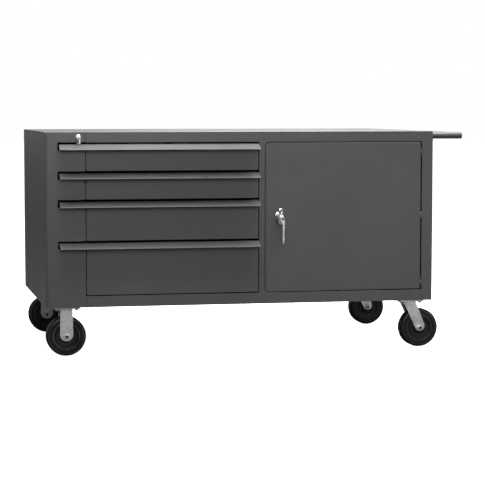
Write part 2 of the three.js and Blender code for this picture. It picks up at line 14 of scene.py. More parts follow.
import bmesh
import bpy
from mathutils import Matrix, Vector


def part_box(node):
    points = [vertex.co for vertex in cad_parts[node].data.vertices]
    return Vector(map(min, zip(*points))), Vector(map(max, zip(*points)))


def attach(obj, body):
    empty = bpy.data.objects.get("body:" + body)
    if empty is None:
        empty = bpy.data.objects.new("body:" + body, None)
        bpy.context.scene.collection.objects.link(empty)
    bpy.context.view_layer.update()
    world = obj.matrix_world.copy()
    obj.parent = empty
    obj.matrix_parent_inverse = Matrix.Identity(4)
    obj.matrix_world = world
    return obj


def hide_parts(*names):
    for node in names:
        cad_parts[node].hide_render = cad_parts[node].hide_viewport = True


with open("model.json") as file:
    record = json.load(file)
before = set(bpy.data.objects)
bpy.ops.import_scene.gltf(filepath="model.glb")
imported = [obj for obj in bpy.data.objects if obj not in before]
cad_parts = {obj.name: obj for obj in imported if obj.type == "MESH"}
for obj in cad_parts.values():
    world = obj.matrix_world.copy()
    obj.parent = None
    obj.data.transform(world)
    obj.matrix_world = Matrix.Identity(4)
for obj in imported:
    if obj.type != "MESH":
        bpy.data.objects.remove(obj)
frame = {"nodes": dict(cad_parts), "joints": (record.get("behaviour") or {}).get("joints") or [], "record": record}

LOG = logging.getLogger("bench_cabinet")
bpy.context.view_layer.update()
MM = 0.001

Node = bpy.types.Node
Socket = bpy.types.NodeSocket
Piece = bpy.types.Object
Part = bmesh.types.BMFace | bmesh.types.BMEdge | bmesh.types.BMVert
Test = Callable[[Part], bool]


# ------------------------------------------------------------------ named choices
class Axis(Enum):
    """A direction of the cabinet and the turn that lays a new upright bar along it."""

    X = (0, (0.0, math.pi / 2, 0.0))
    Y = (1, (math.pi / 2, 0.0, 0.0))
    Z = (2, (0.0, 0.0, 0.0))

    @property
    def index(self) -> int:
        """Place of this axis in a point's three numbers."""
        return self.value[0]

    @property
    def turn(self) -> tuple[float, float, float]:
        """Rotation of a primitive whose own axis is Z."""
        return self.value[1]

    @property
    def unit(self) -> Vector:
        """Unit vector along this axis."""
        return Vector([1.0 if i == self.index else 0.0 for i in range(3)])


class Slot(Enum):
    """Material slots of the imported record."""

    BODY = "body_paint"
    TRAY = "tray_paint"
    SLIDE = "slide_steel"
    ZINC = "caster_zinc"
    WHEEL = "wheel"
    CHROME = "lock_chrome"
    KEY = "key_metal"


class Row(Enum):
    """Front or rear pair of casters."""

    FRONT = "front"
    REAR = "rear"


# ------------------------------------------------------------------ what the frame says
BODY_OF = {node: body for body, nodes in frame["record"]["behaviour"]["bodies"].items() for node in nodes}
JOINT_AT = {joint["name"]: Vector(joint["pos_m"]) for joint in frame["joints"] if "pos_m" in joint}


def middle(node: str) -> Vector:
    """Centre of a CAD node's box."""
    low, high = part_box(node)
    return (low + high) / 2


# ------------------------------------------------------------------ working on one piece
def release() -> None:
    """Leaves edit mode and deselects everything."""
    if bpy.context.mode != "OBJECT":
        bpy.ops.object.mode_set(mode="OBJECT")
    bpy.ops.object.select_all(action="DESELECT")


def hold(piece: Piece) -> None:
    """Makes a piece the only selected and active one.

    Args:
        piece: The piece to select.
    """
    release()
    piece.select_set(True)
    bpy.context.view_layer.objects.active = piece


def settle(name: str) -> Piece:
    """Names the new active piece and puts its place into its mesh.

    Args:
        name: Name of the piece and its mesh.

    Returns:
        The piece, with its object at the origin.
    """
    piece = bpy.context.active_object
    bpy.ops.object.transform_apply(location=True, rotation=True, scale=True)
    piece.name = name
    piece.data.name = name
    return piece


def pick(piece: Piece, test: Test, kind: str = "FACE") -> int:
    """In edit mode, selects only the faces, edges or vertices that pass a test.

    Args:
        piece: Piece in edit mode.
        test: Says whether one part is taken.
        kind: FACE, EDGE or VERT.

    Returns:
        How many were selected.
    """
    bpy.ops.mesh.select_mode(type=kind)
    bpy.ops.mesh.select_all(action="DESELECT")
    shape = bmesh.from_edit_mesh(piece.data)
    parts = {"FACE": shape.faces, "EDGE": shape.edges, "VERT": shape.verts}[kind]
    taken = [part for part in parts if test(part)]
    for part in taken:
        part.select_set(True)
    shape.select_flush_mode()
    bmesh.update_edit_mesh(piece.data)
    return len(taken)


def apply(piece: Piece, kind: str, **settings: object) -> None:
    """Adds one modifier to a piece and applies it.

    Args:
        piece: Piece to finish.
        kind: Type of the modifier.
        **settings: Its settings.
    """
    modifier = piece.modifiers.new(kind.lower(), kind)
    for name, value in settings.items():
        setattr(modifier, name, value)
    hold(piece)
    bpy.ops.object.modifier_apply(modifier=modifier.name)


def shade(piece: Piece, angle: float = 35.0) -> None:
    """Smooths a piece's shading except at sharp edges, and keeps its flat faces flat.

    Args:
        piece: The piece to shade.
        angle: Edges that turn by more than this, in degrees, stay sharp.
    """
    hold(piece)
    bpy.ops.object.shade_smooth_by_angle(angle=math.radians(angle))
    apply(piece, "WEIGHTED_NORMAL", keep_sharp=True, weight=80)


def soften(piece: Piece, width: float, segments: int = 3, angle: float = 32.0) -> Piece:
    """Rounds the sharp edges of a piece and smooths its shading.

    Args:
        piece: Piece to finish.
        width: Width of the rounding.
        segments: Steps across it.
        angle: Edges that turn by more degrees than this are rounded.

    Returns:
        The same piece.
    """
    limit = math.radians(angle)
    apply(piece, "BEVEL", width=width, segments=segments, limit_method="ANGLE", angle_limit=limit)
    shade(piece)
    return piece


def joined(name: str, pieces: Sequence[Piece]) -> Piece:
    """Joins pieces into the first one and names it.

    Args:
        name: Name of the whole.
        pieces: The pieces, which become one.

    Returns:
        The whole, at the origin.
    """
    hold(pieces[0])
    for piece in pieces[1:]:
        piece.select_set(True)
    if len(pieces) > 1:
        bpy.ops.object.join()
    return settle(name)


def copied(piece: Piece, name: str, move: Vector) -> Piece:
    """A copy of a piece with its own mesh, moved by a vector that goes into the mesh.

    Args:
        piece: The piece to copy.
        name: Name of the copy.
        move: How far the copy is from the piece.

    Returns:
        The copy, at the origin.
    """
    copy = piece.copy()
    copy.data = piece.data.copy()
    bpy.context.scene.collection.objects.link(copy)
    copy.location = move
    hold(copy)
    return settle(name)


def bored(piece: Piece, *cutters: Piece) -> Piece:
    """Takes cutters out of a piece and removes them."""
    for cutter in cutters:
        apply(piece, "BOOLEAN", operation="DIFFERENCE", solver="EXACT", object=cutter)
        bpy.data.objects.remove(cutter)
    return piece


# ------------------------------------------------------------------ starting shapes
def block(name: str, low: Sequence[float], high: Sequence[float]) -> Piece:
    """Block between two opposite corners.

    Args:
        name: Name of the block.
        low: Its lowest corner.
        high: Its highest corner.

    Returns:
        The block, at the origin.
    """
    low, high = Vector(low), Vector(high)
    release()
    bpy.ops.mesh.primitive_cube_add(size=1, location=(low + high) / 2, scale=high - low)
    return settle(name)


def bar(
    name: str, axis: Axis, radius: float, centre: Sequence[float], length: float, sides: int = 48
) -> Piece:
    """Round or many-sided bar.

    Args:
        name: Name of the piece.
        axis: Direction of the bar.
        radius: Radius, to the corners.
        centre: Middle of the bar.
        length: Length along the axis.
        sides: Number of sides.

    Returns:
        The bar.
    """
    release()
    bpy.ops.mesh.primitive_cylinder_add(
        vertices=sides, radius=radius, depth=length, location=centre, rotation=axis.turn
    )
    return settle(name)


def ring(
    name: str, axis: Axis, radius: float, wire: float, centre: Sequence[float], sides: int = 56
) -> Piece:
    """Round wire bent to a ring about an axis.

    Args:
        name: Name of the ring.
        axis: Axis that the ring goes round.
        radius: Radius to the middle of the wire.
        wire: Radius of the wire.
        centre: Middle of the ring.
        sides: Segments round the ring.

    Returns:
        The ring.
    """
    release()
    bpy.ops.mesh.primitive_torus_add(
        major_segments=sides,
        minor_segments=14,
        major_radius=radius,
        minor_radius=wire,
        location=centre,
        rotation=axis.turn,
    )
    piece = settle(name)
    shade(piece, 60)
    return piece


def turned(piece: Piece, axis: Axis, side: int, steps: Iterable[tuple[float, float]]) -> Piece:
    """Shapes one end of a bar as on a lathe.

    Args:
        piece: Bar with flat ends.
        axis: Its axis.
        side: 1 for the end towards the axis, -1 for the other.
        steps: Each step inwards, and outwards along the axis, from the edge to the middle, in millimetres.

    Returns:
        The same piece.
    """
    hold(piece)
    bpy.ops.object.mode_set(mode="EDIT")
    pick(piece, lambda face: face.normal.dot(axis.unit) * side > 0.99)
    for inwards, outwards in steps:
        bpy.ops.mesh.inset(thickness=inwards * MM, depth=outwards * MM)
    bpy.ops.object.mode_set(mode="OBJECT")
    return piece


def traced(name: str, points: Sequence[Vector], thickness: Vector) -> Piece:
    """Flat plate drawn point by point round its outline and given a thickness.

    Args:
        name: Name of the piece.
        points: Corners in one plane, in order.
        thickness: Vector from the drawn face to the opposite one.

    Returns:
        The plate, with its faces pointing outwards.
    """
    release()
    bpy.ops.mesh.primitive_plane_add(size=MM, location=points[0])
    piece = settle(name)
    bpy.ops.object.mode_set(mode="EDIT")
    bpy.ops.mesh.select_mode(type="VERT")
    bpy.ops.mesh.select_all(action="SELECT")
    bpy.ops.mesh.merge(type="CENTER")
    for here, following in zip(points, [*points[1:], points[0]]):
        bpy.ops.mesh.extrude_vertices_move(TRANSFORM_OT_translate={"value": following - here})
    bpy.ops.mesh.select_all(action="SELECT")
    bpy.ops.mesh.remove_doubles(threshold=1e-5)
    bpy.ops.mesh.edge_face_add()
    bpy.ops.mesh.extrude_region_move(TRANSFORM_OT_translate={"value": thickness})
    bpy.ops.mesh.select_all(action="SELECT")
    bpy.ops.mesh.normals_make_consistent(inside=False)
    bpy.ops.object.mode_set(mode="OBJECT")
    return piece


def arc(centre: Sequence[float], radius: float, start: float, end: float, steps: int = 16) -> list[Vector]:
    """Points of an arc in the X and Z plane, with its two angles in degrees."""
    turns = [math.radians(start + (end - start) * i / steps) for i in range(steps + 1)]
    return [Vector(centre) + radius * Vector((math.cos(t), 0, math.sin(t))) for t in turns]


def refined(node: str, name: str, width: float, shortest: float = 6 * MM, segments: int = 3) -> Piece:
    """Merged copy of a CAD node with its long sharp edges rounded.

    Args:
        node: CAD node to start from.
        name: Name of the new piece.
        width: Width of the rounding.
        shortest: Edges under this length stay sharp.
        segments: Steps across the rounding.

    Returns:
        The new piece.
    """
    source = frame["nodes"][node]
    piece = source.copy()
    piece.data = source.data.copy()
    for key in list(piece.keys()):
        del piece[key]
    piece.parent = None
    bpy.context.scene.collection.objects.link(piece)
    hold(piece)
    settle(name)
    bpy.ops.mesh.customdata_custom_splitnormals_clear()
    bpy.ops.object.mode_set(mode="EDIT")
    bpy.ops.mesh.select_all(action="SELECT")
    bpy.ops.mesh.remove_doubles(threshold=1e-6)
    bpy.ops.mesh.dissolve_limited(angle_limit=math.radians(0.4))
    shape = bmesh.from_edit_mesh(piece.data)
    weight = shape.edges.layers.float.new("bevel_weight_edge")
    for edge in shape.edges:
        sharp = edge.is_manifold and edge.calc_face_angle(0) > math.radians(32)
        edge[weight] = 1.0 if sharp and edge.calc_length() >= shortest else 0.0
    bmesh.update_edit_mesh(piece.data)
    bpy.ops.object.mode_set(mode="OBJECT")
    apply(piece, "BEVEL", width=width, segments=segments, limit_method="WEIGHT", use_clamp_overlap=False)
    shade(piece)
    return piece


# ------------------------------------------------------------------ finishes
@dataclass
class Graph:
    """A node tree being wired."""

    tree: bpy.types.NodeTree

    def add(self, kind: str, values: dict[str | int, object] | None = None, **settings: object) -> Node:
        """Adds a node.

        Args:
            kind: Node type.
            values: Each input's value, or the socket that feeds it.
            **settings: The node's own settings.

        Returns:
            The node.
        """
        node = self.tree.nodes.new(kind)
        for name, setting in settings.items():
            setattr(node, name, setting)
        for key, value in (values or {}).items():
            if isinstance(value, Socket):
                self.tree.links.new(value, node.inputs[key])
            else:
                node.inputs[key].default_value = value
        return node

    def place(self) -> Socket:
        """Object coordinates."""
        return self.add("ShaderNodeTexCoord").outputs["Object"]

    def noise(self, scale: float, detail: float = 3.0, stretch: Sequence[float] = (1, 1, 1)) -> Socket:
        """Noise of a scale per metre, stretched along the axes.

        Args:
            scale: Cells per metre.
            detail: Finer layers that are added.
            stretch: Scale along each axis.

        Returns:
            The height of the noise.
        """
        mapped = self.add("ShaderNodeMapping", {"Vector": self.place(), "Scale": tuple(stretch)})
        values = {"Vector": mapped.outputs[0], "Scale": scale, "Detail": detail}
        return self.add("ShaderNodeTexNoise", values).outputs[0]

    def math(self, operation: str, first: object, second: object = 0.0, clamp: bool = False) -> Socket:
        """One sum of two values or sockets."""
        node = self.add("ShaderNodeMath", {0: first, 1: second}, operation=operation, use_clamp=clamp)
        return node.outputs[0]

    def span(self, value: Socket, start: float, end: float, low: float = 0.0, high: float = 1.0) -> Socket:
        """A value from start to end made to run from low to high, and kept there."""
        values = {"Value": value, "From Min": start, "From Max": end, "To Min": low, "To Max": high}
        return self.add("ShaderNodeMapRange", values).outputs[0]

    def blend(self, share: object, first: object, second: object) -> Socket:
        """A colour between two by a share from 0 to 1.

        Args:
            share: How much of the second colour shows, from 0 to 1.
            first: Colour at 0.
            second: Colour at 1.

        Returns:
            The colour.
        """
        node = self.add("ShaderNodeMix", data_type="RGBA")
        for index, value in ((0, share), (6, first), (7, second)):
            if isinstance(value, Socket):
                self.tree.links.new(value, node.inputs[index])
            else:
                node.inputs[index].default_value = value
        return node.outputs[2]

    def group(self, shared: bpy.types.NodeTree, **values: float) -> Node:
        """Places a shared effect with this finish's own values.

        Args:
            shared: The effect.
            values: A value for each input, named as the input in small letters.

        Returns:
            The node, with the effect in it.
        """
        node = self.add("ShaderNodeGroup", node_tree=shared)
        for name, value in values.items():
            node.inputs[name.replace("_", " ").capitalize()].default_value = value
        return node


def effect(name: str, inputs: dict[str, float], outputs: Sequence[str]) -> tuple[Graph, Node, Node]:
    """Starts a node group with named inputs and outputs.

    Args:
        name: Name of the effect.
        inputs: Each input and its usual value.
        outputs: Names of the values it puts out.

    Returns:
        The graph and its input and output nodes.
    """
    tree = bpy.data.node_groups.new(name, "ShaderNodeTree")
    for title, value in inputs.items():
        socket = tree.interface.new_socket(title, in_out="INPUT", socket_type="NodeSocketFloat")
        socket.default_value = value
    for title in outputs:
        tree.interface.new_socket(title, in_out="OUTPUT", socket_type="NodeSocketFloat")
    graph = Graph(tree)
    return graph, graph.add("NodeGroupInput"), graph.add("NodeGroupOutput")


def edge_wear_and_sheen() -> bpy.types.NodeTree:
    """Mask of lighter edges, partly rubbed paint and partly a painted edge highlight: where a rounded normal
    leaves the true one, broken up by noise.

    Returns:
        The node group.
    """
    graph, given, out = effect("edge_wear_and_sheen", {"Radius": 1.5 * MM, "Amount": 1.0}, ["Mask"])
    soft = graph.add("ShaderNodeBevel", {"Radius": given.outputs["Radius"]}, samples=4)
    true = graph.add("ShaderNodeNewGeometry").outputs["Normal"]
    same = graph.add("ShaderNodeVectorMath", {0: soft.outputs[0], 1: true}, operation="DOT_PRODUCT")
    edge = graph.span(same.outputs["Value"], 0.985, 0.80)
    patchy = graph.span(graph.noise(55, 5), 0.42, 0.66, 0.25, 1.0)
    mask = graph.math("MULTIPLY", graph.math("MULTIPLY", edge, patchy), given.outputs["Amount"], clamp=True)
    graph.tree.links.new(mask, out.inputs["Mask"])
    return graph.tree


def fine_texture() -> bpy.types.NodeTree:
    """Height of a sprayed or cast surface: soft cells with a finer grain on top.

    Returns:
        The node group.
    """
    graph, given, out = effect("fine_texture", {"Scale": 420.0, "Grain": 0.3}, ["Height"])
    place = graph.place()
    cells = graph.add("ShaderNodeTexNoise", {"Vector": place, "Scale": given.outputs["Scale"], "Detail": 1.5})
    finer = graph.math("MULTIPLY", given.outputs["Scale"], 4.7)
    grain = graph.add("ShaderNodeTexNoise", {"Vector": place, "Scale": finer, "Detail": 2.0})
    share = graph.math("MULTIPLY", grain.outputs[0], given.outputs["Grain"])
    graph.tree.links.new(graph.math("ADD", cells.outputs[0], share), out.inputs["Height"])
    return graph.tree


def handling() -> bpy.types.NodeTree:
    """Masks of use: broad cloudy smears, and thin short scratches.

    Returns:
        The node group.
    """
    graph, given, out = effect("handling", {"Scale": 5.0, "Scratch": 1.0}, ["Smears", "Scratches"])
    place = graph.place()
    warped = {"Vector": place, "Scale": given.outputs["Scale"], "Detail": 6.0, "Distortion": 0.8}
    smears = graph.span(graph.add("ShaderNodeTexNoise", warped).outputs[0], 0.36, 0.68)
    graph.tree.links.new(smears, out.inputs["Smears"])
    long_way = graph.noise(38, 2, (1.0, 1.0, 14.0))
    thin = graph.span(graph.math("ABSOLUTE", graph.math("SUBTRACT", long_way, 0.5)), 0.0, 0.006, 1.0, 0.0)
    few = graph.math("MULTIPLY", thin, graph.span(graph.noise(9, 2), 0.56, 0.66))
    scratches = graph.math("MULTIPLY", few, given.outputs["Scratch"], clamp=True)
    graph.tree.links.new(scratches, out.inputs["Scratches"])
    return graph.tree


@dataclass
class Effects:
    """The shared effects, each built once."""

    wear_and_sheen: bpy.types.NodeTree = field(default_factory=edge_wear_and_sheen)
    texture: bpy.types.NodeTree = field(default_factory=fine_texture)
    use: bpy.types.NodeTree = field(default_factory=handling)


@dataclass(frozen=True)
class Paint:
    """Dark powder coat, satin, with a soft orange peel and lighter edges, partly rubbed paint and partly a painted
    edge highlight.
    """

    name: str
    tint: tuple[float, float, float]
    worn_and_sheen: tuple[float, float, float]
    roughness: float = 0.42
    peel: float = 430.0
    wear_and_sheen: float = 0.5
    scratch: float = 0.5

    def material(self, effects: Effects) -> bpy.types.Material:
        """Builds the material from the shared effects.

        Args:
            effects: The shared effects.

        Returns:
            The material, ready to be put on a piece.
        """
        material, graph, surface = blank(self.name)
        use = graph.group(effects.use, scale=3.2, scratch=self.scratch)
        # Painted edge highlight: the lighter colour along rounded edges is partly rubbed paint and partly a
        # highlight painted in.
        wear_and_sheen = graph.group(effects.wear_and_sheen, radius=1.4 * MM, amount=self.wear_and_sheen)
        texture = graph.group(effects.texture, scale=self.peel, grain=0.25)
        lighter = [share * 1.12 for share in self.tint]
        base = graph.blend(use.outputs["Smears"], (*self.tint, 1), (*lighter, 1))
        scratched = graph.math("MULTIPLY", use.outputs["Scratches"], 0.35)
        marks_and_sheen = graph.math("MAXIMUM", wear_and_sheen.outputs["Mask"], scratched)
        graph.tree.links.new(graph.blend(marks_and_sheen, base, (*self.worn_and_sheen, 1)), surface.inputs["Base Color"])
        rough = graph.span(use.outputs["Smears"], 0, 1, self.roughness - 0.035, self.roughness + 0.04)
        speck = graph.span(graph.noise(900, 1), 0.3, 0.7, -0.03, 0.03)
        graph.tree.links.new(graph.math("ADD", rough, speck), surface.inputs["Roughness"])
        bumped(graph, surface, texture.outputs["Height"], 0.35, 0.05 * MM)
        surface.inputs["Specular IOR Level"].default_value = 0.5
        surface.inputs["Coat Weight"].default_value = 0.12
        surface.inputs["Coat Roughness"].default_value = 0.3
        return material


@dataclass(frozen=True)
class Plated:
    """Bright metal plate: zinc, chrome or nickel."""

    name: str
    tint: tuple[float, float, float]
    shadow: tuple[float, float, float]
    roughness: float = 0.3
    cloud: float = 24.0
    grain: float = 500.0
    depth: float = 0.03
    brushed: tuple[float, float, float] = (1.0, 1.0, 1.0)
    wear_and_sheen: float = 0.5

    def material(self, effects: Effects) -> bpy.types.Material:
        """Builds the material from the shared effects.

        Args:
            effects: The shared effects.

        Returns:
            The material, ready to be put on a piece.
        """
        material, graph, surface = blank(self.name)
        use = graph.group(effects.use, scale=self.cloud, scratch=1.0)
        texture = graph.group(effects.texture, scale=self.grain, grain=0.8)
        wear_and_sheen = graph.group(effects.wear_and_sheen, radius=0.8 * MM, amount=self.wear_and_sheen)
        streaks = graph.noise(self.grain * 0.6, 4, self.brushed)
        cloudy = graph.math("MULTIPLY", use.outputs["Smears"], 0.75)
        dull = graph.math("ADD", cloudy, graph.span(streaks, 0.35, 0.7, 0.0, 0.3), clamp=True)
        base = graph.blend(dull, (*self.tint, 1), (*self.shadow, 1))
        bright = tuple(min(1.0, share * 1.15) for share in self.tint)
        colour = graph.blend(wear_and_sheen.outputs["Mask"], base, (*bright, 1))
        graph.tree.links.new(colour, surface.inputs["Base Color"])
        rough = graph.span(dull, 0, 1, self.roughness * 0.8, self.roughness * 1.35)
        scored = graph.math("MULTIPLY", use.outputs["Scratches"], 0.15)
        graph.tree.links.new(graph.math("ADD", rough, scored), surface.inputs["Roughness"])
        height = graph.math("ADD", texture.outputs["Height"], graph.math("MULTIPLY", streaks, 0.6))
        bumped(graph, surface, height, 0.4, self.depth * MM)
        surface.inputs["Metallic"].default_value = 1.0
        return material


@dataclass(frozen=True)
class Moulded:
    """Black moulded phenolic with fine turned rings about the axle, dust on the tread, and painted highlight rings
    and edges in a lighter colour.
    """

    name: str
    tint: tuple[float, float, float]
    dust_and_sheen: tuple[float, float, float]
    roughness: float = 0.27
    ring: float = 1.3
    sheen_rings: tuple[tuple[float, float, float], ...] = ((50.5, 1.6, 0.75), (67.5, 1.0, 0.45), (31.0, 1.2, 0.3))

    def material(self, effects: Effects) -> bpy.types.Material:
        """Builds the material from the shared effects.

        Args:
            effects: The shared effects.

        Returns:
            The material, ready to be put on a piece.
        """
        material, graph, surface = blank(self.name)
        use = graph.group(effects.use, scale=16.0, scratch=0.6)
        # Edge mask on the wheel: partly rubbed edges, partly a painted highlight on the rims.
        wear_and_sheen = graph.group(effects.wear_and_sheen, radius=1.2 * MM, amount=0.8)
        texture = graph.group(effects.texture, scale=650.0, grain=0.6)
        out = graph.add("ShaderNodeAttribute", attribute_name=Wheel.RADIUS_NAME).outputs["Fac"]
        waves = graph.math("SINE", graph.math("MULTIPLY", out, math.tau / (self.ring * MM)))
        tread = graph.span(out, 69 * MM, 75.5 * MM)
        dust = graph.math("MULTIPLY", tread, graph.span(use.outputs["Smears"], 0.1, 0.9, 0.01, 0.08))
        marks_and_sheen = graph.math("MAXIMUM", dust, wear_and_sheen.outputs["Mask"])
        # Painted highlight rings: lighter rings at these radii stand in for the light that the web's grooves
        # catch.
        for sheen_radius, half, share in self.sheen_rings:
            off = graph.math("ABSOLUTE", graph.math("SUBTRACT", out, sheen_radius * MM))
            line = graph.span(off, half * 0.4 * MM, half * MM, share, 0.0)
            patchy = graph.math("MULTIPLY", line, graph.span(use.outputs["Smears"], 0.0, 1.0, 0.45, 1.0))
            marks_and_sheen = graph.math("MAXIMUM", marks_and_sheen, patchy)
        base = graph.blend(marks_and_sheen, (*self.tint, 1), (*self.dust_and_sheen, 1))
        graph.tree.links.new(base, surface.inputs["Base Color"])
        rough = graph.span(use.outputs["Smears"], 0, 1, self.roughness - 0.06, self.roughness + 0.12)
        rougher = graph.math("ADD", rough, graph.math("MULTIPLY", tread, 0.25))
        graph.tree.links.new(rougher, surface.inputs["Roughness"])
        height = graph.math("ADD", texture.outputs["Height"], graph.math("MULTIPLY", waves, 0.35))
        bumped(graph, surface, height, 0.5, 0.05 * MM)
        surface.inputs["Specular IOR Level"].default_value = 0.32
        return material


def blank(name: str) -> tuple[bpy.types.Material, Graph, Node]:
    """A new material with its graph and its surface shader.

    Args:
        name: Name of the material.

    Returns:
        The material, its graph and its surface shader.
    """
    material = bpy.data.materials.new(name)
    material.use_nodes = True
    return material, Graph(material.node_tree), material.node_tree.nodes["Principled BSDF"]


def bumped(graph: Graph, surface: Node, height: Socket, strength: float, distance: float) -> None:
    """Feeds a height to a surface's normal."""
    bump = graph.add("ShaderNodeBump", {"Height": height, "Strength": strength, "Distance": distance})
    graph.tree.links.new(bump.outputs[0], surface.inputs["Normal"])


FINISHES = {
    # The body's lighter edge colour is partly rubbed paint and partly a painted edge highlight.
    Slot.BODY: Paint("body_powder_coat", tint=(0.051, 0.051, 0.0515), worn_and_sheen=(0.20, 0.20, 0.201)),
    Slot.TRAY: Paint(
        "tray_powder_coat",
        tint=(0.060, 0.061, 0.063),
        worn_and_sheen=(0.19, 0.19, 0.19),
        roughness=0.5,
        peel=380.0,
        scratch=1.0,
    ),
    Slot.SLIDE: Plated(
        "greased_slide_steel",
        tint=(0.50, 0.51, 0.52),
        shadow=(0.26, 0.26, 0.25),
        roughness=0.34,
        cloud=14.0,
        grain=420.0,
        depth=0.04,
        brushed=(0.05, 1, 1),
    ),
    Slot.ZINC: Plated(
        "bright_zinc_plate",
        tint=(0.66, 0.67, 0.68),
        shadow=(0.40, 0.41, 0.42),
        roughness=0.36,
        cloud=34.0,
        grain=360.0,
        depth=0.05,
    ),
    Slot.CHROME: Plated(
        "polished_chrome",
        tint=(0.78, 0.78, 0.79),
        shadow=(0.58, 0.58, 0.59),
        roughness=0.16,
        cloud=60.0,
        grain=500.0,
        depth=0.008,
    ),
    Slot.KEY: Plated(
        "nickelled_key",
        tint=(0.86, 0.85, 0.83),
        shadow=(0.62, 0.61, 0.58),
        roughness=0.3,
        cloud=90.0,
        grain=700.0,
        depth=0.02,
        brushed=(1, 1, 0.08),
        wear_and_sheen=0.1,
    ),
    # The wheel's lighter colour is dust on the tread and a painted highlight on its rings and edges.
    Slot.WHEEL: Moulded("moulded_phenolic", tint=(0.0022, 0.0022, 0.0023), dust_and_sheen=(0.2, 0.198, 0.195)),
}


@dataclass
class Outfitter:
    """Dresses finished pieces and hangs them on their CAD bodies."""

    effects: Effects = field(default_factory=Effects)
    materials: dict[Slot, bpy.types.Material] = field(default_factory=dict)
    count: int = 0

    def finish_for(self, slot: Slot) -> bpy.types.Material:
        """The material of a slot, built when it is first asked for."""
        if slot not in self.materials:
            self.materials[slot] = FINISHES[slot].material(self.effects)
        return self.materials[slot]

    def fit(self, piece: Piece, slot: Slot, node: str, stands_for: bool = True) -> Piece:
        """Gives a piece its finish and its body.

        Args:
            piece: Finished piece.
            slot: The record's material slot.
            node: CAD node whose body it rides on.
            stands_for: Whether it also replaces that node.

        Returns:
            The same piece.
        """
        piece.data.materials.clear()
        piece.data.materials.append(self.finish_for(slot))
        piece.data.polygons.foreach_set("material_index", [0] * len(piece.data.polygons))
        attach(piece, BODY_OF[node])
        if stands_for:
            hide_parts(node)
        self.count += 1
        LOG.info("%s: %d faces on %s", piece.name, len(piece.data.polygons), BODY_OF[node])
        return piece


# ------------------------------------------------------------------ sheet metal
@dataclass
class SheetMetal:
    """Folded and cut sheet: each panel of the body, the frame and the flap."""

    folded: float = 2.2 * MM
    cut: float = 0.6 * MM
    folded_nodes: tuple[str, ...] = ("worktop", "right_side", "top_rail", "bottom_rail", "shelf")
    cut_nodes: tuple[str, ...] = (
        "back_panel",
        "bottom_panel",
        "left_side",
        "left_stile",
        "drawer_bay_wall",
        "divider",
        "centre_post",
        "lock_flap",
    )

    def build(self, outfit: Outfitter) -> None:
        """Builds every panel."""
        for node in self.folded_nodes:
            width = self.folded if node == "worktop" else self.cut
            outfit.fit(refined(node, f"{node}_sheet", width, 20 * MM), Slot.BODY, node)
        for node in self.cut_nodes:
            outfit.fit(refined(node, f"{node}_sheet", self.cut, 2 * MM), Slot.BODY, node)


# ------------------------------------------------------------------ drawers
@dataclass
class Drawer:
    """One drawer: its folded front and pull, its tray with hemmed edges, and its slides."""

    number: int
    fold: float = 0.9 * MM
    hem: float = 1.6 * MM
    wall: float = 1.5 * MM
    left_room: float = 26.3 * MM
    right_room: float = 27.7 * MM

    def build(self, outfit: Outfitter) -> None:
        """Builds the drawer and both slides.

        Args:
            outfit: Takes each finished piece, with its finish and its node.
        """
        front = f"drawer_{self.number}_front"
        outfit.fit(refined(front, f"{front}_and_pull", self.fold, 8 * MM, 4), Slot.BODY, front)
        self.tray(outfit)
        for side in ("left", "right"):
            self.slide(outfit, side)

    def tray(self, outfit: Outfitter) -> None:
        """The open tray and the rolled hem round its top.

        Args:
            outfit: Takes each finished piece, with its finish and its node.
        """
        node = f"drawer_{self.number}_tray"
        outfit.fit(refined(node, f"{node}_pan", 0.5 * MM, 6 * MM, 2), Slot.TRAY, node)
        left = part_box(f"drawer_{self.number}_slide_left")[0].x + self.left_room
        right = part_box(f"drawer_{self.number}_slide_right")[1].x - self.right_room
        low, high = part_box(node)
        top, front, back = high.z - self.hem / 2, low.y + self.wall / 2, high.y - self.wall / 2
        across = right - left - 2 * self.wall
        runs = [
            bar("hem", Axis.Y, self.hem, (x, (front + back) / 2, top), back - front, 16)
            for x in (left + self.hem / 2, right - self.hem / 2)
        ]
        runs += [
            bar("hem", Axis.X, self.hem, ((left + right) / 2, y, top), across, 16)
            for y in (back, front + self.hem)
        ]
        hems = joined(f"drawer_{self.number}_tray_hems", runs)
        shade(hems, 40)
        outfit.fit(hems, Slot.TRAY, node, stands_for=False)

    def slide(self, outfit: Outfitter, side: str) -> None:
        """One slide channel with its screws.

        Args:
            outfit: Takes each finished piece, with its finish and its node.
            side: Which slide, left or right.
        """
        node = f"drawer_{self.number}_slide_{side}"
        outfit.fit(refined(node, f"{node}_channel", 0.5 * MM, 10 * MM, 2), Slot.SLIDE, node)
        low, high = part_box(node)
        wall = low.x + 1.5 * MM if side == "left" else high.x - 1.5 * MM
        way = 1 if side == "left" else -1
        height = (low.z + high.z) / 2
        heads = []
        for share in (0.04, 0.35, 0.66, 0.97):
            y = low.y + (high.y - low.y) * share
            head = bar("screw", Axis.X, 4.2 * MM, (wall + way * 0.6 * MM, y, height), 1.6 * MM, 24)
            heads.append(turned(head, Axis.X, way, [(1.2, 0.7)]))
        screws = joined(f"{node}_screws", heads)
        shade(screws, 30)
        outfit.fit(screws, Slot.ZINC, node, stands_for=False)


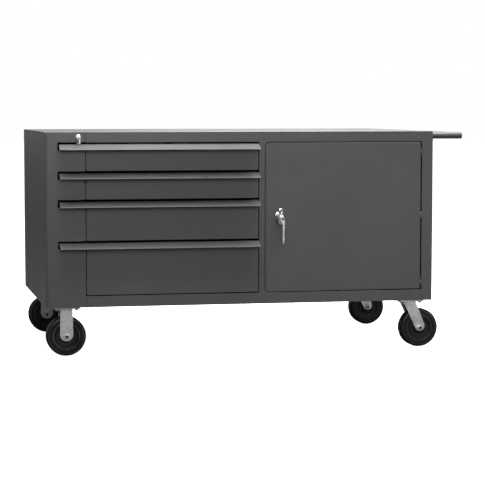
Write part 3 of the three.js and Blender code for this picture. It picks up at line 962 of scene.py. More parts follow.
# ------------------------------------------------------------------ hinges
@dataclass
class FlapHinge:
    """Rolled hinge up the cabinet's left front edge: knuckles by turns on the stile and the flap."""

    count: int = 7
    radius: float = 3.75 * MM
    end_gap: float = 2 * MM
    seam: float = 0.5 * MM

    def build(self, outfit: Outfitter) -> None:
        """Builds both sets of knuckles and the pin.

        Args:
            outfit: Takes each finished piece, with its finish and its node.
        """
        axis = JOINT_AT["lock_flap_hinge"]
        low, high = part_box("left_stile")
        start, end = low.z + self.end_gap, high.z - self.end_gap
        pitch = (end - start) / self.count
        sets: dict[str, list[Piece]] = {"left_stile": [], "lock_flap": []}
        for i in range(self.count):
            centre = (axis.x, axis.y, start + (i + 0.5) * pitch)
            knuckle = bar("knuckle", Axis.Z, self.radius, centre, pitch - self.seam - 0.8 * MM, 40)
            for side in (1, -1):
                turned(knuckle, Axis.Z, side, [(0.4, 0.4), (1.2, 0), (0.1, -0.3)])
            sets["left_stile" if i % 2 == 0 else "lock_flap"].append(knuckle)
        for node, knuckles in sets.items():
            rolled = joined(f"{node}_hinge_knuckles", knuckles)
            shade(rolled, 40)
            outfit.fit(rolled, Slot.BODY, node, stands_for=False)
        pin_low, pin_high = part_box("flap_hinge_pin")
        pin = bar("flap_hinge_rod", Axis.Z, 1.5 * MM, middle("flap_hinge_pin"), pin_high.z - pin_low.z, 24)
        outfit.fit(soften(pin, 0.5 * MM), Slot.ZINC, "flap_hinge_pin")


@dataclass
class DoorHinges:
    """Three small welded hinges up the door's right edge, each with a bright washer between its knuckles."""

    radius: float = 3.1 * MM
    height: float = 11 * MM

    def build(self, outfit: Outfitter) -> None:
        """Builds the knuckles and the pins."""
        for number in (1, 2, 3):
            node = f"door_hinge_pin_{number}"
            centre = middle(node)
            for side, owner, body in ((1, "door_panel", "door"), (-1, "right_side", "stile")):
                place = centre + Vector((0, 0, side * (1 * MM + self.height / 2)))
                name = f"door_hinge_{number}_{body}_knuckle"
                knuckle = bar(name, Axis.Z, self.radius, place, self.height - 0.8 * MM)
                for end in (1, -1):
                    turned(knuckle, Axis.Z, end, [(0.4, 0.4), (0.9, 0.1)])
                shade(knuckle, 40)
                outfit.fit(knuckle, Slot.BODY, owner, stands_for=False)
            pin = bar("pin", Axis.Z, 1.35 * MM, centre, 24 * MM, 24)
            turned(pin, Axis.Z, 1, [(0.5, 0.5)])
            turned(pin, Axis.Z, -1, [(0.5, 0.5)])
            washer = bar("washer", Axis.Z, 3.0 * MM, centre, 1.2 * MM, 40)
            whole = joined(f"{node}_and_washer", [pin, soften(washer, 0.25 * MM)])
            shade(whole, 30)
            outfit.fit(whole, Slot.ZINC, node)


# ------------------------------------------------------------------ keys and locks
@dataclass
class Key:
    """A key standing in its lock and a spare one hanging from the ring through its bow."""

    node: str
    spare_node: str
    joint: str
    bow_radius: float
    plug_radius: float
    ring_radius: float
    wire: float
    aside: float
    blade: float
    bites: tuple[float, ...] = (0.10, 0.42, 0.2, 0.5, 0.3, 0.12, 0.38)

    def build(self, outfit: Outfitter) -> None:
        """Builds the key, and then the ring with the spare key.

        Args:
            outfit: Takes each finished piece, with its finish and its node.
        """
        hole = JOINT_AT[self.joint]
        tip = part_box(self.node)[0].y
        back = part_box(self.node)[1].y
        pieces = [self.bow(hole, tip), *self.stem(hole, tip, back)]
        key = joined(f"{self.node}_in_lock", pieces)
        outfit.fit(key, Slot.KEY, self.node)
        outfit.fit(self.spare(hole), Slot.KEY, self.spare_node)

    def bow(self, hole: Vector, tip: float) -> Piece:
        """Round bow with a raised rim and a hole.

        Args:
            hole: Middle of the hole in the bow.
            tip: How far forward the bow starts.

        Returns:
            The bow.
        """
        centre = (hole.x, tip + self.bow_radius, hole.z)
        disc = bar("bow", Axis.X, self.bow_radius, centre, 1.6 * MM, 64)
        for side in (1, -1):
            turned(disc, Axis.X, side, [(0.3, 0.2), (1.1, 0), (0.25, -0.3)])
        bored(disc, bar("cutter", Axis.X, 2.8 * MM, hole, 6 * MM, 32))
        shade(disc, 30)
        return disc

    def stem(self, hole: Vector, tip: float, back: float) -> list[Piece]:
        """Shoulder of the key and, for the door, the plug that it turns.

        Args:
            hole: Middle of the hole in the bow.
            tip: How far forward the bow starts.
            back: How far back the key ends.

        Returns:
            The shoulder, and the plug if there is one.
        """
        start = tip + self.bow_radius * 1.7
        end = back if self.plug_radius == 0 else back - 12 * MM
        low = (hole.x - 1 * MM, start, hole.z - 3 * MM)
        stem = soften(block("stem", low, (hole.x + 1 * MM, end, hole.z + 3 * MM)), 0.35 * MM)
        if self.plug_radius == 0:
            return [stem]
        centre = (hole.x, back - 7.5 * MM, hole.z)
        plug = bar("plug", Axis.Y, self.plug_radius, centre, 15 * MM - 0.8 * MM, 48)
        turned(plug, Axis.Y, -1, [(0.5, 0.4), (0.8, 0), (0.2, -0.3)])
        shade(plug, 30)
        return [stem, plug]

    def spare(self, hole: Vector) -> Piece:
        """Ring and spare key, its edge cut with teeth and a raised rib along it.

        Args:
            hole: Middle of the hole that the ring hangs from.

        Returns:
            The ring and the key as one piece.
        """
        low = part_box(self.spare_node)[0]
        loop = ring("loop", Axis.Y, self.ring_radius, self.wire, hole - Vector((0, 0, self.ring_radius)))
        half = self.blade / 2
        x = hole.x + self.aside
        top = hole.z - self.ring_radius * 1.5
        y = hole.y - self.wire * 0.8
        neck = half * 0.86
        length = top - low.z
        shoulder = top - length * 0.36
        points = arc((x, y, top - half * 0.6), half, 180, 0, 10)
        points += [Vector((x + half, y, shoulder + half)), Vector((x + neck, y, shoulder))]
        teeth = len(self.bites)
        run = (shoulder - low.z) * 0.86
        for i, share in enumerate(self.bites):
            bite = share * neck
            start = shoulder - run * (i + 0.25) / teeth
            end = start - run * 0.4 / teeth
            points += [Vector((x + neck - bite, y, start)), Vector((x + neck - bite, y, end))]
        points += [Vector((x + neck * 0.2, y, low.z)), Vector((x - neck * 0.3, y, low.z))]
        points += [Vector((x - neck, y, low.z + neck)), Vector((x - neck, y, shoulder))]
        points.append(Vector((x - half, y, shoulder + half)))
        flat = soften(traced("flat", points, Vector((0, self.wire * 1.6, 0))), 0.2 * MM, 2)
        groove_low = (x - neck * 0.45, y - 0.15 * MM, low.z + length * 0.07)
        rib = soften(block("rib", groove_low, (x - neck * 0.1, y + 0.2 * MM, shoulder)), 0.12 * MM, 2)
        return joined(f"{self.spare_node}_and_ring", [loop, flat, rib])


@dataclass
class FlapLock:
    """Cam lock near the flap's top edge: flanged housing, turning plug and cam."""

    flange: float = 11 * MM
    barrel: float = 9.4 * MM
    nut: float = 13 * MM
    plug: float = 6 * MM
    cam_end: float = 4 * MM

    def build(self, outfit: Outfitter) -> None:
        """Builds the housing and the plug with its cam.

        Args:
            outfit: Takes each finished piece, with its finish and its node.
        """
        lock = JOINT_AT["flap_lock_turn"]
        low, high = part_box("flap_lock_housing")
        flange = bar("flange", Axis.Y, self.flange, (lock.x, low.y + 1.9 * MM, lock.z), 2.2 * MM, 72)
        turned(flange, Axis.Y, -1, [(0.9, 0.7), (2.4, 0.1), (0.3, -0.5)])
        shade(flange, 25)
        length = high.y - lock.y
        barrel = bar("barrel", Axis.Y, self.barrel, (lock.x, lock.y + length / 2, lock.z), length, 64)
        threads = [
            ring("thread", Axis.Y, self.barrel, 0.35 * MM, lock + Vector((0, start * MM, 0)), 48)
            for start in (3.5 + i * 1.1 for i in range(9))
        ]
        shade(barrel, 30)
        nut = bar("nut", Axis.Y, self.nut, (lock.x, lock.y + 4.6 * MM, lock.z), 2.6 * MM, 6)
        nut = soften(nut, 0.5 * MM)
        housing = joined("flap_lock_flanged_barrel", [flange, barrel, nut, *threads])
        outfit.fit(housing, Slot.CHROME, "flap_lock_housing")
        self.build_plug(outfit, lock)

    def build_plug(self, outfit: Outfitter, lock: Vector) -> None:
        """Builds the plug, its cam and the screw that holds the cam.

        Args:
            outfit: Takes each finished piece, with its finish and its node.
            lock: Middle of the lock on the flap's face.
        """
        low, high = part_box("flap_lock_plug")
        centre = (lock.x, (low.y + high.y) / 2 - 1 * MM, lock.z)
        core = bar("core", Axis.Y, self.plug, centre, high.y - low.y - 2.6 * MM, 56)
        turned(core, Axis.Y, -1, [(0.4, 0.4), (1.2, 0), (0.2, -0.3)])
        shade(core, 30)
        y = high.y - 2.8 * MM
        outline = arc((lock.x, y, lock.z), self.plug, 0, 180)
        outline += arc((lock.x, y, low.z + self.cam_end), self.cam_end, 180, 360)
        cam = soften(traced("cam", outline, Vector((0, 2.6 * MM, 0))), 0.4 * MM)
        screw = bar("screw", Axis.Y, 3.6 * MM, (lock.x, high.y - 0.4 * MM, lock.z), 0.8 * MM, 32)
        whole = joined("flap_lock_plug_and_cam", [core, cam, soften(screw, 0.2 * MM)])
        outfit.fit(whole, Slot.CHROME, "flap_lock_plug")


@dataclass
class DoorLock:
    """Chromed T handle on a round plate, with its latch cam and strike inside."""

    wing_half: float = 32 * MM
    wing_wide: float = 9.5 * MM
    edge: tuple[tuple[float, float], ...] = ((8.835, 14), (6.2, 6), (6.2, 0), (6.2, -6), (8.835, -14))
    hub: float = 12 * MM
    plug_hole: float = 6 * MM
    foot: float = 28 * MM
    spindle: float = 5 * MM
    plate_radius: float = 17 * MM

    def build(self, outfit: Outfitter) -> None:
        """Builds the plate, the handle, the cam and the strike.

        Args:
            outfit: Takes each finished piece, with its finish and its node.
        """
        at = JOINT_AT["door_handle_turn"]
        self.plate(outfit, at)
        self.handle(outfit, at)
        self.latch(outfit, at)

    def plate(self, outfit: Outfitter, at: Vector) -> None:
        """Stepped round plate under the handle.

        Args:
            outfit: Takes each finished piece, with its finish and its node.
            at: Middle of the lock.
        """
        low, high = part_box("door_handle_escutcheon")
        depth = high.y - low.y
        centre = (at.x, high.y - depth * 0.3, at.z)
        plate = bar("door_handle_plate", Axis.Y, self.plate_radius, centre, depth * 0.6, 80)
        turned(plate, Axis.Y, -1, [(0.8, 0.7), (2.2, 0), (0.5, -0.4), (0.6, 0), (0.6, 0.5)])
        shade(plate, 25)
        outfit.fit(plate, Slot.CHROME, "door_handle_escutcheon")

    def handle(self, outfit: Outfitter, at: Vector) -> None:
        """Two rounded wings on a stepped hub, and the spindle through the door.

        Args:
            outfit: Takes each finished piece, with its finish and its node.
            at: Middle of the lock.
        """
        low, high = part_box("door_handle")
        face = low.y
        wide, half = self.wing_wide, self.wing_half
        back = face + 0.5 * MM
        outline = []
        for side, first in ((1, 0), (-1, 180)):
            end = (at.x, back, at.z + side * (half - wide))
            outline += arc(end, wide, first, first + 180, 24)
            for half_width, rise in self.edge:
                outline.append(Vector((at.x - side * half_width * MM, back, at.z + side * rise * MM)))
        wings = traced("wings", outline, Vector((0, 12 * MM, 0)))
        soften(wings, 4.6 * MM, 6, 50)
        neck = bar("neck", Axis.Y, self.hub * 0.72, (at.x, face + 21 * MM, at.z), 17 * MM, 64)
        shade(neck, 30)
        hub = bar("hub", Axis.Y, self.hub, (at.x, face + 8.2 * MM, at.z), 15 * MM, 80)
        turned(hub, Axis.Y, -1, [(0.9, 0.6), (2.6, 0.1), (0.4, -0.8)])
        turned(hub, Axis.Y, 1, [(1.5, 1.2)])
        shade(hub, 28)
        bored(hub, bar("cutter", Axis.Y, self.plug_hole, (at.x, face, at.z), 20 * MM, 48))
        foot = bar("foot", Axis.Y, self.hub, (at.x, face + self.foot, at.z), 2.4 * MM, 64)
        foot = soften(foot, 0.6 * MM)
        length = high.y - face - self.foot
        centre = (at.x, high.y - length / 2, at.z)
        spindle = bar("spindle", Axis.Y, self.spindle, centre, length, 32)
        spindle = soften(spindle, 0.5 * MM)
        bored(wings, bar("cutter", Axis.Y, self.plug_hole, (at.x, face, at.z), 20 * MM, 48))
        whole = joined("door_t_handle", [wings, hub, neck, foot, spindle])
        outfit.fit(whole, Slot.CHROME, "door_handle")

    def latch(self, outfit: Outfitter, at: Vector) -> None:
        """Cam on the spindle with its nut, and the strike that it turns behind.

        Args:
            outfit: Takes each finished piece, with its finish and its node.
            at: Middle of the lock.
        """
        low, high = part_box("door_latch_cam")
        width = (high.x - low.x) / 2
        outline = arc((at.x, low.y, high.z - width), width, 0, 180)
        outline += arc((at.x, low.y, low.z + width), width, 180, 360)
        cam = soften(traced("cam", outline, Vector((0, high.y - low.y, 0))), 0.5 * MM)
        nut = soften(bar("nut", Axis.Y, 8.5 * MM, (at.x, high.y + 1.4 * MM, at.z), 2.8 * MM, 6), 0.5 * MM)
        outfit.fit(joined("door_latch_cam_and_nut", [cam, nut]), Slot.ZINC, "door_latch_cam")
        strike_low, strike_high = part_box("latch_strike")
        strike = soften(block("latch_strike_bar", strike_low, strike_high), 0.8 * MM)
        outfit.fit(strike, Slot.ZINC, "latch_strike")


@dataclass
class Door:
    """Cupboard door: a folded pan with a stiffener across its inside."""

    fold: float = 2.4 * MM
    rib_height: float = 60 * MM
    rib_depth: float = 10 * MM

    def build(self, outfit: Outfitter) -> None:
        """Builds the pan and the stiffener.

        Args:
            outfit: Takes each finished piece, with its finish and its node.
        """
        outfit.fit(refined("door_panel", "door_pan", self.fold, 4 * MM, 4), Slot.BODY, "door_panel")
        low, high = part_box("door_panel")
        face = high.y - 20 * MM
        middle_z = (low.z + high.z) / 2
        start = (low.x + 110 * MM, face - 0.2 * MM, middle_z - self.rib_height / 2)
        end = (high.x - 30 * MM, face + self.rib_depth, middle_z + self.rib_height / 2)
        rib = block("door_stiffener", start, end)
        hold(rib)
        bpy.ops.object.mode_set(mode="EDIT")
        pick(rib, lambda side: side.normal.y > 0.99)
        bpy.ops.transform.resize(value=(0.985, 1, 0.6), orient_type="GLOBAL")
        bpy.ops.object.mode_set(mode="OBJECT")
        outfit.fit(soften(rib, 1.5 * MM), Slot.BODY, "door_panel", stands_for=False)


# ------------------------------------------------------------------ push handle
@dataclass
class PushHandle:
    """Two capped arms of round tube welded to the right-hand end, and the grip welded between them."""

    radius: float = 12.7 * MM
    collar: float = 17.7 * MM
    sides: int = 64
    bead: float = 1.5 * MM

    def build(self, outfit: Outfitter) -> None:
        """Builds the arms, the grip and the weld beads.

        Args:
            outfit: Takes each finished piece, with its finish and its node.
        """
        low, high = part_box("push_handle")
        height = (low.z + high.z) / 2
        root, end = low.x, high.x
        front, back = low.y + self.collar, high.y - self.collar
        parts, welds = [], []
        for y, inwards in ((front, 1), (back, -1)):
            length = end - root - 1 * MM
            arm = bar("arm", Axis.X, self.radius, (root + length / 2, y, height), length, self.sides)
            turned(arm, Axis.X, 1, [(0.35, 0.65), (0.65, 0.35), (0.8, -0.15)])
            shade(arm, 40)
            parts.append(arm)
            welds.append(self.root_weld(root, y, height))
            foot = (end - self.radius, y + inwards * self.radius * 0.9, height)
            welds.append(self.rippled(ring("bead", Axis.Y, self.radius - 0.6 * MM, self.bead, foot, 96)))
        centre = (end - self.radius, (front + back) / 2, height)
        grip = bar("grip", Axis.Y, self.radius, centre, back - front, self.sides)
        shade(grip, 40)
        outfit.fit(joined("push_handle_tube", [grip, *parts]), Slot.BODY, "push_handle")
        outfit.fit(joined("push_handle_welds", welds), Slot.BODY, "push_handle", stands_for=False)

    def root_weld(self, root: float, y: float, height: float) -> Piece:
        """Flared weld between an arm and the side panel.

        Args:
            root: Where the arm meets the side panel.
            y: Middle of the arm from front to back.
            height: Middle of the arm from the floor.

        Returns:
            The weld.
        """
        cone = bar("cone", Axis.X, self.radius + 4.2 * MM, (root + 0.8 * MM, y, height), 1.6 * MM, 72)
        turned(cone, Axis.X, 1, [(1.2, 1.4), (1.1, 2.1), (0.9, 2.5)])
        hold(cone)
        bpy.ops.object.mode_set(mode="EDIT")
        pick(cone, lambda face: len(face.verts) == 4)
        bpy.ops.mesh.subdivide(number_cuts=1)
        bpy.ops.object.mode_set(mode="OBJECT")
        return self.rippled(cone)

    def rippled(self, bead: Piece) -> Piece:
        """Gives a weld its uneven ripples.

        Args:
            bead: The smooth weld.

        Returns:
            The same weld, rippled.
        """
        ripples = bpy.data.textures.get("weld_ripples") or bpy.data.textures.new("weld_ripples", "CLOUDS")
        ripples.noise_scale = 3.5 * MM
        apply(bead, "DISPLACE", texture=ripples, texture_coords="LOCAL", strength=0.7 * MM, mid_level=0.6)
        shade(bead, 50)
        return bead


# ------------------------------------------------------------------ casters
@dataclass
class Wheel:
    """Moulded wheel: flat tread, raised rim, grooved and dished web, and a steel bushing at the hub."""

    node: str
    radius: float = 76.2 * MM
    half: float = 25.4 * MM
    RADIUS_NAME = "from_axle"

    def build(self, outfit: Outfitter) -> None:
        """Builds the wheel, its bushing and the numbers that its finish needs.

        Args:
            outfit: Takes each finished piece, with its finish and its node.
        """
        centre = middle(self.node)
        body = bar("tyre", Axis.Y, self.radius, centre, 2 * (self.half - 9 * MM), 96)
        tread_corner = [(0.5, 3.0), (1.4, 2.8), (1.9, 1.6), (2.6, 1.3), (4.0, 0.3)]
        rim = [(11.0, 0.0), (0.5, -0.5)]
        groove = [(0.8, -2.6), (2.2, -0.2), (0.7, 2.3), (0.6, 0.4)]
        dish = [(3.6, 0.0), (0.6, -0.5), (1.6, -3.6), (1.0, -0.5), (8.0, -0.2)]
        rib = [(0.8, 1.1), (1.6, 0.3), (0.8, -1.0), (8.6, 0.3)]
        hub = [(0.9, 0.6), (1.4, 4.9), (0.6, 0.5), (6.4, 0.1)]
        steps = tread_corner + rim + groove + dish + rib + hub
        for side in (1, -1):
            turned(body, Axis.Y, side, steps)
        apply(body, "BEVEL", width=0.35 * MM, segments=2, limit_method="ANGLE", angle_limit=math.radians(28))
        self.measure(body, centre)
        shade(body, 30)
        body.name = body.data.name = f"{self.node}_phenolic"
        outfit.fit(body, Slot.WHEEL, self.node)
        outfit.fit(self.bushing(centre), Slot.ZINC, self.node, stands_for=False)

    def measure(self, body: Piece, centre: Vector) -> None:
        """Writes each vertex's distance from the axle, which the turned rings and the painted highlight rings
        follow.
        """
        out = body.data.attributes.new(self.RADIUS_NAME, "FLOAT", "POINT")
        for vertex in body.data.vertices:
            out.data[vertex.index].value = math.hypot(vertex.co.x - centre.x, vertex.co.z - centre.z)

    def bushing(self, centre: Vector) -> Piece:
        """Steel bushing with a chamfer at each end.

        Args:
            centre: Middle of the wheel.

        Returns:
            The bushing.
        """
        half = self.half + 1.9 * MM
        made = bar(f"{self.node}_bushing", Axis.Y, 10.5 * MM, centre, 2 * half - 0.8 * MM, 48)
        for side in (1, -1):
            turned(made, Axis.Y, side, [(0.6, 0.4), (2.0, 0), (0.4, -0.5)])
        shade(made, 28)
        return made


@dataclass
class Caster:
    """What rigid and swivel casters share: the bolted plate, the forged legs and the axle bolt."""

    row: Row
    plate_x: float = 101.6 * MM
    plate_y: float = 114.3 * MM
    plate_thickness: float = 6.35 * MM
    bolt_x: float = 38 * MM
    bolt_y: float = 44.5 * MM
    leg: float = 4.8 * MM
    leg_inside: float = 28.5 * MM
    end_raise: float = 7 * MM
    shank: float = 6.35 * MM
    hexagon: float = 10.5 * MM
    washer: float = 12.2 * MM
    bore: float = 4.9 * MM
    # Radius of the black disc that paints the shade inside the hollow axle.
    shade_disc: float = 5.4 * MM

    def mounting_plate(self, centre: Vector, top: float) -> list[Piece]:
        """Plate with rounded corners, and a washer, nut and bolt end at each corner.

        Args:
            centre: Middle of the plate; its height isn't used.
            top: Height of the plate's upper face.

        Returns:
            The plate and its fasteners.
        """
        low = (centre.x - self.plate_x / 2, centre.y - self.plate_y / 2, top - self.plate_thickness)
        plate = block("plate", low, (centre.x + self.plate_x / 2, centre.y + self.plate_y / 2, top))
        hold(plate)
        bpy.ops.object.mode_set(mode="EDIT")
        pick(plate, lambda edge: abs((edge.verts[0].co - edge.verts[1].co).z) > 1 * MM, "EDGE")
        bpy.ops.mesh.bevel(offset=7 * MM, segments=8)
        bpy.ops.object.mode_set(mode="OBJECT")
        soften(plate, 0.7 * MM)
        under = top - self.plate_thickness
        first = self.fastener(Vector((centre.x - self.bolt_x, centre.y - self.bolt_y, under)))
        moves = [(2 * self.bolt_x * i, 2 * self.bolt_y * j) for i in (0, 1) for j in (0, 1) if i + j]
        others = [copied(first, "fastener", Vector((x, y, 0))) for x, y in moves]
        return [plate, first, *others]

    def fastener(self, under: Vector) -> Piece:
        """Washer, chamfered hexagon nut and bolt end hanging from a point under the plate.

        Args:
            under: Point on the underside of the plate.

        Returns:
            The washer, nut and bolt end as one piece.
        """
        washer = bar("washer", Axis.Z, 9.2 * MM, under - Vector((0, 0, 0.7 * MM)), 1.4 * MM, 48)
        washer = soften(washer, 0.3 * MM)
        nut = bar("nut", Axis.Z, 8 * MM, under - Vector((0, 0, 3.3 * MM)), 4.0 * MM, 6)
        turned(nut, Axis.Z, -1, [(0.9, 0.6)])
        nut = soften(nut, 0.3 * MM, 2)
        end = bar("end", Axis.Z, 4.2 * MM, under - Vector((0, 0, 3.4 * MM)), 6.4 * MM, 32)
        turned(end, Axis.Z, -1, [(0.6, 0.5)])
        shade(end, 28)
        threads = [
            ring("thread", Axis.Z, 4 * MM, 0.3 * MM, under - Vector((0, 0, drop * MM)), 28)
            for drop in (6.0, 6.45)
        ]
        return joined("fastener", [washer, nut, end, *threads])

    def legs(self, top_x: float, top: float, half: float, radius: float, axle: Vector) -> list[Piece]:
        """The two legs, each a plate with straight sides and a round end about the axle.

        Args:
            top_x: Middle of the legs' top edges.
            top: Height of the top edges.
            half: Half of the top edge.
            radius: Radius of the round end.
            axle: Centre of the axle.

        Returns:
            Both legs.
        """
        end = Vector((axle.x, 0, axle.z + self.end_raise))
        left, right = Vector((top_x - half, 0, top)), Vector((top_x + half, 0, top))
        start = touch(left, end, radius, 1)
        stop = touch(right, end, radius, -1) + 360
        outline = [right, left, *arc(end, radius, start, stop, 36)]
        near = axle.y - self.leg_inside - self.leg
        front = traced("leg", [Vector((p.x, near, p.z)) for p in outline], Vector((0, self.leg, 0)))
        soften(front, 1.0 * MM, 3, 40)
        back = copied(front, "leg", Vector((0, 2 * self.leg_inside + self.leg, 0)))
        return [front, back]

    def axle_bolt(self, name: str, axle: Vector) -> Piece:
        """Hollow axle bolt: washers, a head with a grease fitting in front, and a lock nut behind.

        Args:
            name: Name of the bolt.
            axle: Middle of the axle.

        Returns:
            The bolt and its nut as one piece.
        """
        outside = self.leg_inside + self.leg + 0.3 * MM
        centre = axle + Vector((0, 2.75 * MM, 0))
        shank = bar("shank", Axis.Y, self.shank, centre, 2 * outside + 13.5 * MM, 48)
        turned(shank, Axis.Y, 1, [(0.9, 0.8)])
        head = bar("head", Axis.Y, self.hexagon, axle - Vector((0, outside + 4.6 * MM, 0)), 6.6 * MM, 6)
        turned(head, Axis.Y, -1, [(1.1, 0.7)])
        nut = bar("nut", Axis.Y, self.hexagon, axle + Vector((0, outside + 4.8 * MM, 0)), 7 * MM, 6)
        turned(nut, Axis.Y, 1, [(1.1, 0.7), (2.0, 1.2)])
        washers = []
        for side in (1, -1):
            centre = axle + Vector((0, side * (outside + 0.7 * MM), 0))
            washers.append(soften(bar("washer", Axis.Y, self.washer, centre, 1.4 * MM, 56), 0.3 * MM))
        for piece in (shank, head, washers[1]):
            bored(piece, bar("bore", Axis.Y, self.bore, axle - Vector((0, outside, 0)), 60 * MM, 40))
        shade(shank, 28)
        cup = bar("cup", Axis.Y, 1.5 * MM, axle + Vector((5 * MM, -outside - 9.2 * MM, 5 * MM)), 1.6 * MM, 24)
        turned(cup, Axis.Y, -1, [(0.4, 0.5), (0.4, 0.2)])
        shade(cup, 30)
        return joined(name, [shank, soften(head, 0.3 * MM, 2), soften(nut, 0.3 * MM, 2), *washers, cup])

    def fit_axle(self, outfit: Outfitter, kind: str, axle: Vector) -> None:
        """Fits the axle bolt of a rigid or swivel caster, and the black disc that paints the shade in its hollow
        axle.

        Args:
            outfit: Takes each finished piece, with its finish and its node.
            kind: Which kind of caster, rigid or swivel.
            axle: Middle of the axle.
        """
        row = self.row.value
        node = f"{kind}_axle_{row}"
        outfit.fit(self.axle_bolt(f"{kind}_axle_bolt_{row}", axle), Slot.ZINC, node)
        shade_disc = self.axle_shade_disc(f"{kind}_axle_shade_disc_{row}", axle)
        outfit.fit(shade_disc, Slot.WHEEL, node, stands_for=False)

    def axle_shade_disc(self, name: str, axle: Vector) -> Piece:
        """Black disc in the mouth of the hollow axle: painted shade for the dark inside of the axle.

        Args:
            name: Name of the disc.
            axle: Middle of the axle.

        Returns:
            The disc.
        """
        outside = self.leg_inside + self.leg + 0.3 * MM
        # Painted shade: a black disc over the mouth of the hollow axle, where there is only shade.
        shade_disc = bar(name, Axis.Y, self.shade_disc, axle - Vector((0, outside + 8.4 * MM, 0)), 1.2 * MM, 40)
        turned(shade_disc, Axis.Y, -1, [(0.7, 0.6), (1.4, 0.3), (0.3, -0.4)])
        shade(shade_disc, 30)
        return shade_disc


def touch(point: Vector, centre: Vector, radius: float, side: int) -> float:
    """Direction, in degrees, from a circle's centre to where a line from a point touches the circle.

    Args:
        point: Where the line starts.
        centre: Middle of the circle.
        radius: Radius of the circle.
        side: Which of the two lines, 1 or -1.

    Returns:
        The direction.
    """
    away = point - centre
    turn = math.atan2(away.z, away.x) + side * math.acos(radius / away.length)
    return math.degrees(turn)


@dataclass
class RigidCaster(Caster):
    """Caster whose legs stand straight down from its plate."""

    half: float = 24 * MM
    radius: float = 25.5 * MM

    def build(self, outfit: Outfitter) -> None:
        """Builds the fork, the axle bolt and the wheel.

        Args:
            outfit: Takes each finished piece, with its finish and its node.
        """
        row = self.row.value
        fork, wheel = f"rigid_fork_{row}", f"rigid_wheel_{row}"
        axle = middle(wheel)
        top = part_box(fork)[1].z
        under = top - self.plate_thickness
        pieces = self.mounting_plate(axle, top)
        pieces += self.legs(axle.x, under + 0.5 * MM, self.half, self.radius, axle)
        for side in (1, -1):
            y = axle.y + side * (self.leg_inside - 1.2 * MM)
            fillet = bar("fillet", Axis.X, 2.6 * MM, (axle.x, y, under - 1 * MM), 2 * self.half - 3 * MM, 20)
            pieces.append(soften(fillet, 0.6 * MM))
        outfit.fit(joined(f"rigid_caster_fork_{row}", pieces), Slot.ZINC, fork)
        self.fit_axle(outfit, "rigid", axle)
        Wheel(wheel).build(outfit)


@dataclass
class SwivelCaster(Caster):
    """Caster whose fork turns under a ball race and trails its wheel."""

    half: float = 25.5 * MM
    radius: float = 20 * MM
    race: float = 24 * MM
    king: float = 7 * MM
    crown: float = 25 * MM
    crown_drop: float = 6.6 * MM
    crown_thickness: float = 6 * MM

    def build(self, outfit: Outfitter) -> None:
        """Builds the plate, the fork, the axle bolt and the wheel.

        Args:
            outfit: Takes each finished piece, with its finish and its node.
        """
        row = self.row.value
        plate, fork, wheel = f"swivel_plate_{row}", f"swivel_fork_{row}", f"swivel_wheel_{row}"
        axle = middle(wheel)
        pivot = JOINT_AT[f"swivel_{row}_turn"]
        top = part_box(plate)[1].z
        under = top - self.plate_thickness
        crown_top = under - self.crown_drop
        crown_low = crown_top - self.crown_thickness
        outfit.fit(self.plate_and_king(f"swivel_caster_plate_{row}", pivot, top, crown_low), Slot.ZINC, plate)
        pieces = self.legs(pivot.x, under - 1.2 * MM, self.half, self.radius, axle)
        pieces += self.crown_pieces(pivot, crown_top, crown_low)
        outfit.fit(joined(f"swivel_caster_fork_{row}", pieces), Slot.ZINC, fork)
        self.fit_axle(outfit, "swivel", axle)
        Wheel(wheel).build(outfit)

    def plate_and_king(self, name: str, pivot: Vector, top: float, crown_low: float) -> Piece:
        """Mounting plate with the upper race, the king bolt and its nut.

        Args:
            name: Name of the whole.
            pivot: Point on the axis that the fork turns about.
            top: Height of the top of the plate.
            crown_low: Height of the underside of the crown.

        Returns:
            The plate, race, bolt and nut as one piece.
        """
        under = top - self.plate_thickness
        race_height = under - 6 * MM
        race = bar("race", Axis.Z, self.race, (pivot.x, pivot.y, under - 2.4 * MM), 5.2 * MM, 72)
        turned(race, Axis.Z, -1, [(1.0, 0.9), (1.5, 0.1)])
        shade(race, 28)
        king_low = crown_low - 9.4 * MM
        centre = (pivot.x, pivot.y, (race_height + king_low) / 2)
        king = bar("king", Axis.Z, self.king, centre, race_height - king_low, 40)
        shade(king, 28)
        nut = bar("nut", Axis.Z, 11 * MM, (pivot.x, pivot.y, crown_low - 4.8 * MM), 7.6 * MM, 6)
        turned(nut, Axis.Z, -1, [(1.1, 0.7)])
        return joined(name, [*self.mounting_plate(pivot, top), race, king, soften(nut, 0.3 * MM, 2)])

    def crown_pieces(self, pivot: Vector, top: float, low: float) -> list[Piece]:
        """Lower race and the bridge that joins the legs, with a grease fitting in front.

        Args:
            pivot: Point on the axis that the fork turns about.
            top: Height of the top of the crown.
            low: Height of its underside.

        Returns:
            The race, the bridge and the grease fitting.
        """
        spread = self.leg_inside + self.leg / 2
        disc = bar("disc", Axis.Z, self.crown, (pivot.x, pivot.y, (top + low) / 2), top - low - 1.4 * MM, 72)
        turned(disc, Axis.Z, 1, [(0.8, 0.7)])
        turned(disc, Axis.Z, -1, [(0.8, 0.7)])
        shade(disc, 28)
        corner = Vector((self.half, spread, 0))
        foot, head = Vector((pivot.x, pivot.y, low)), Vector((pivot.x, pivot.y, top))
        bridge = block("bridge", foot - corner, head + corner)
        soften(bridge, 0.8 * MM)
        centre = (pivot.x - self.crown - 0.6 * MM, pivot.y, (top + low) / 2)
        stub = bar("stub", Axis.X, 2.6 * MM, centre, 3 * MM, 20)
        turned(stub, Axis.X, -1, [(0.8, 0.8), (0.5, 0.6)])
        shade(stub, 30)
        return [disc, bridge, stub]


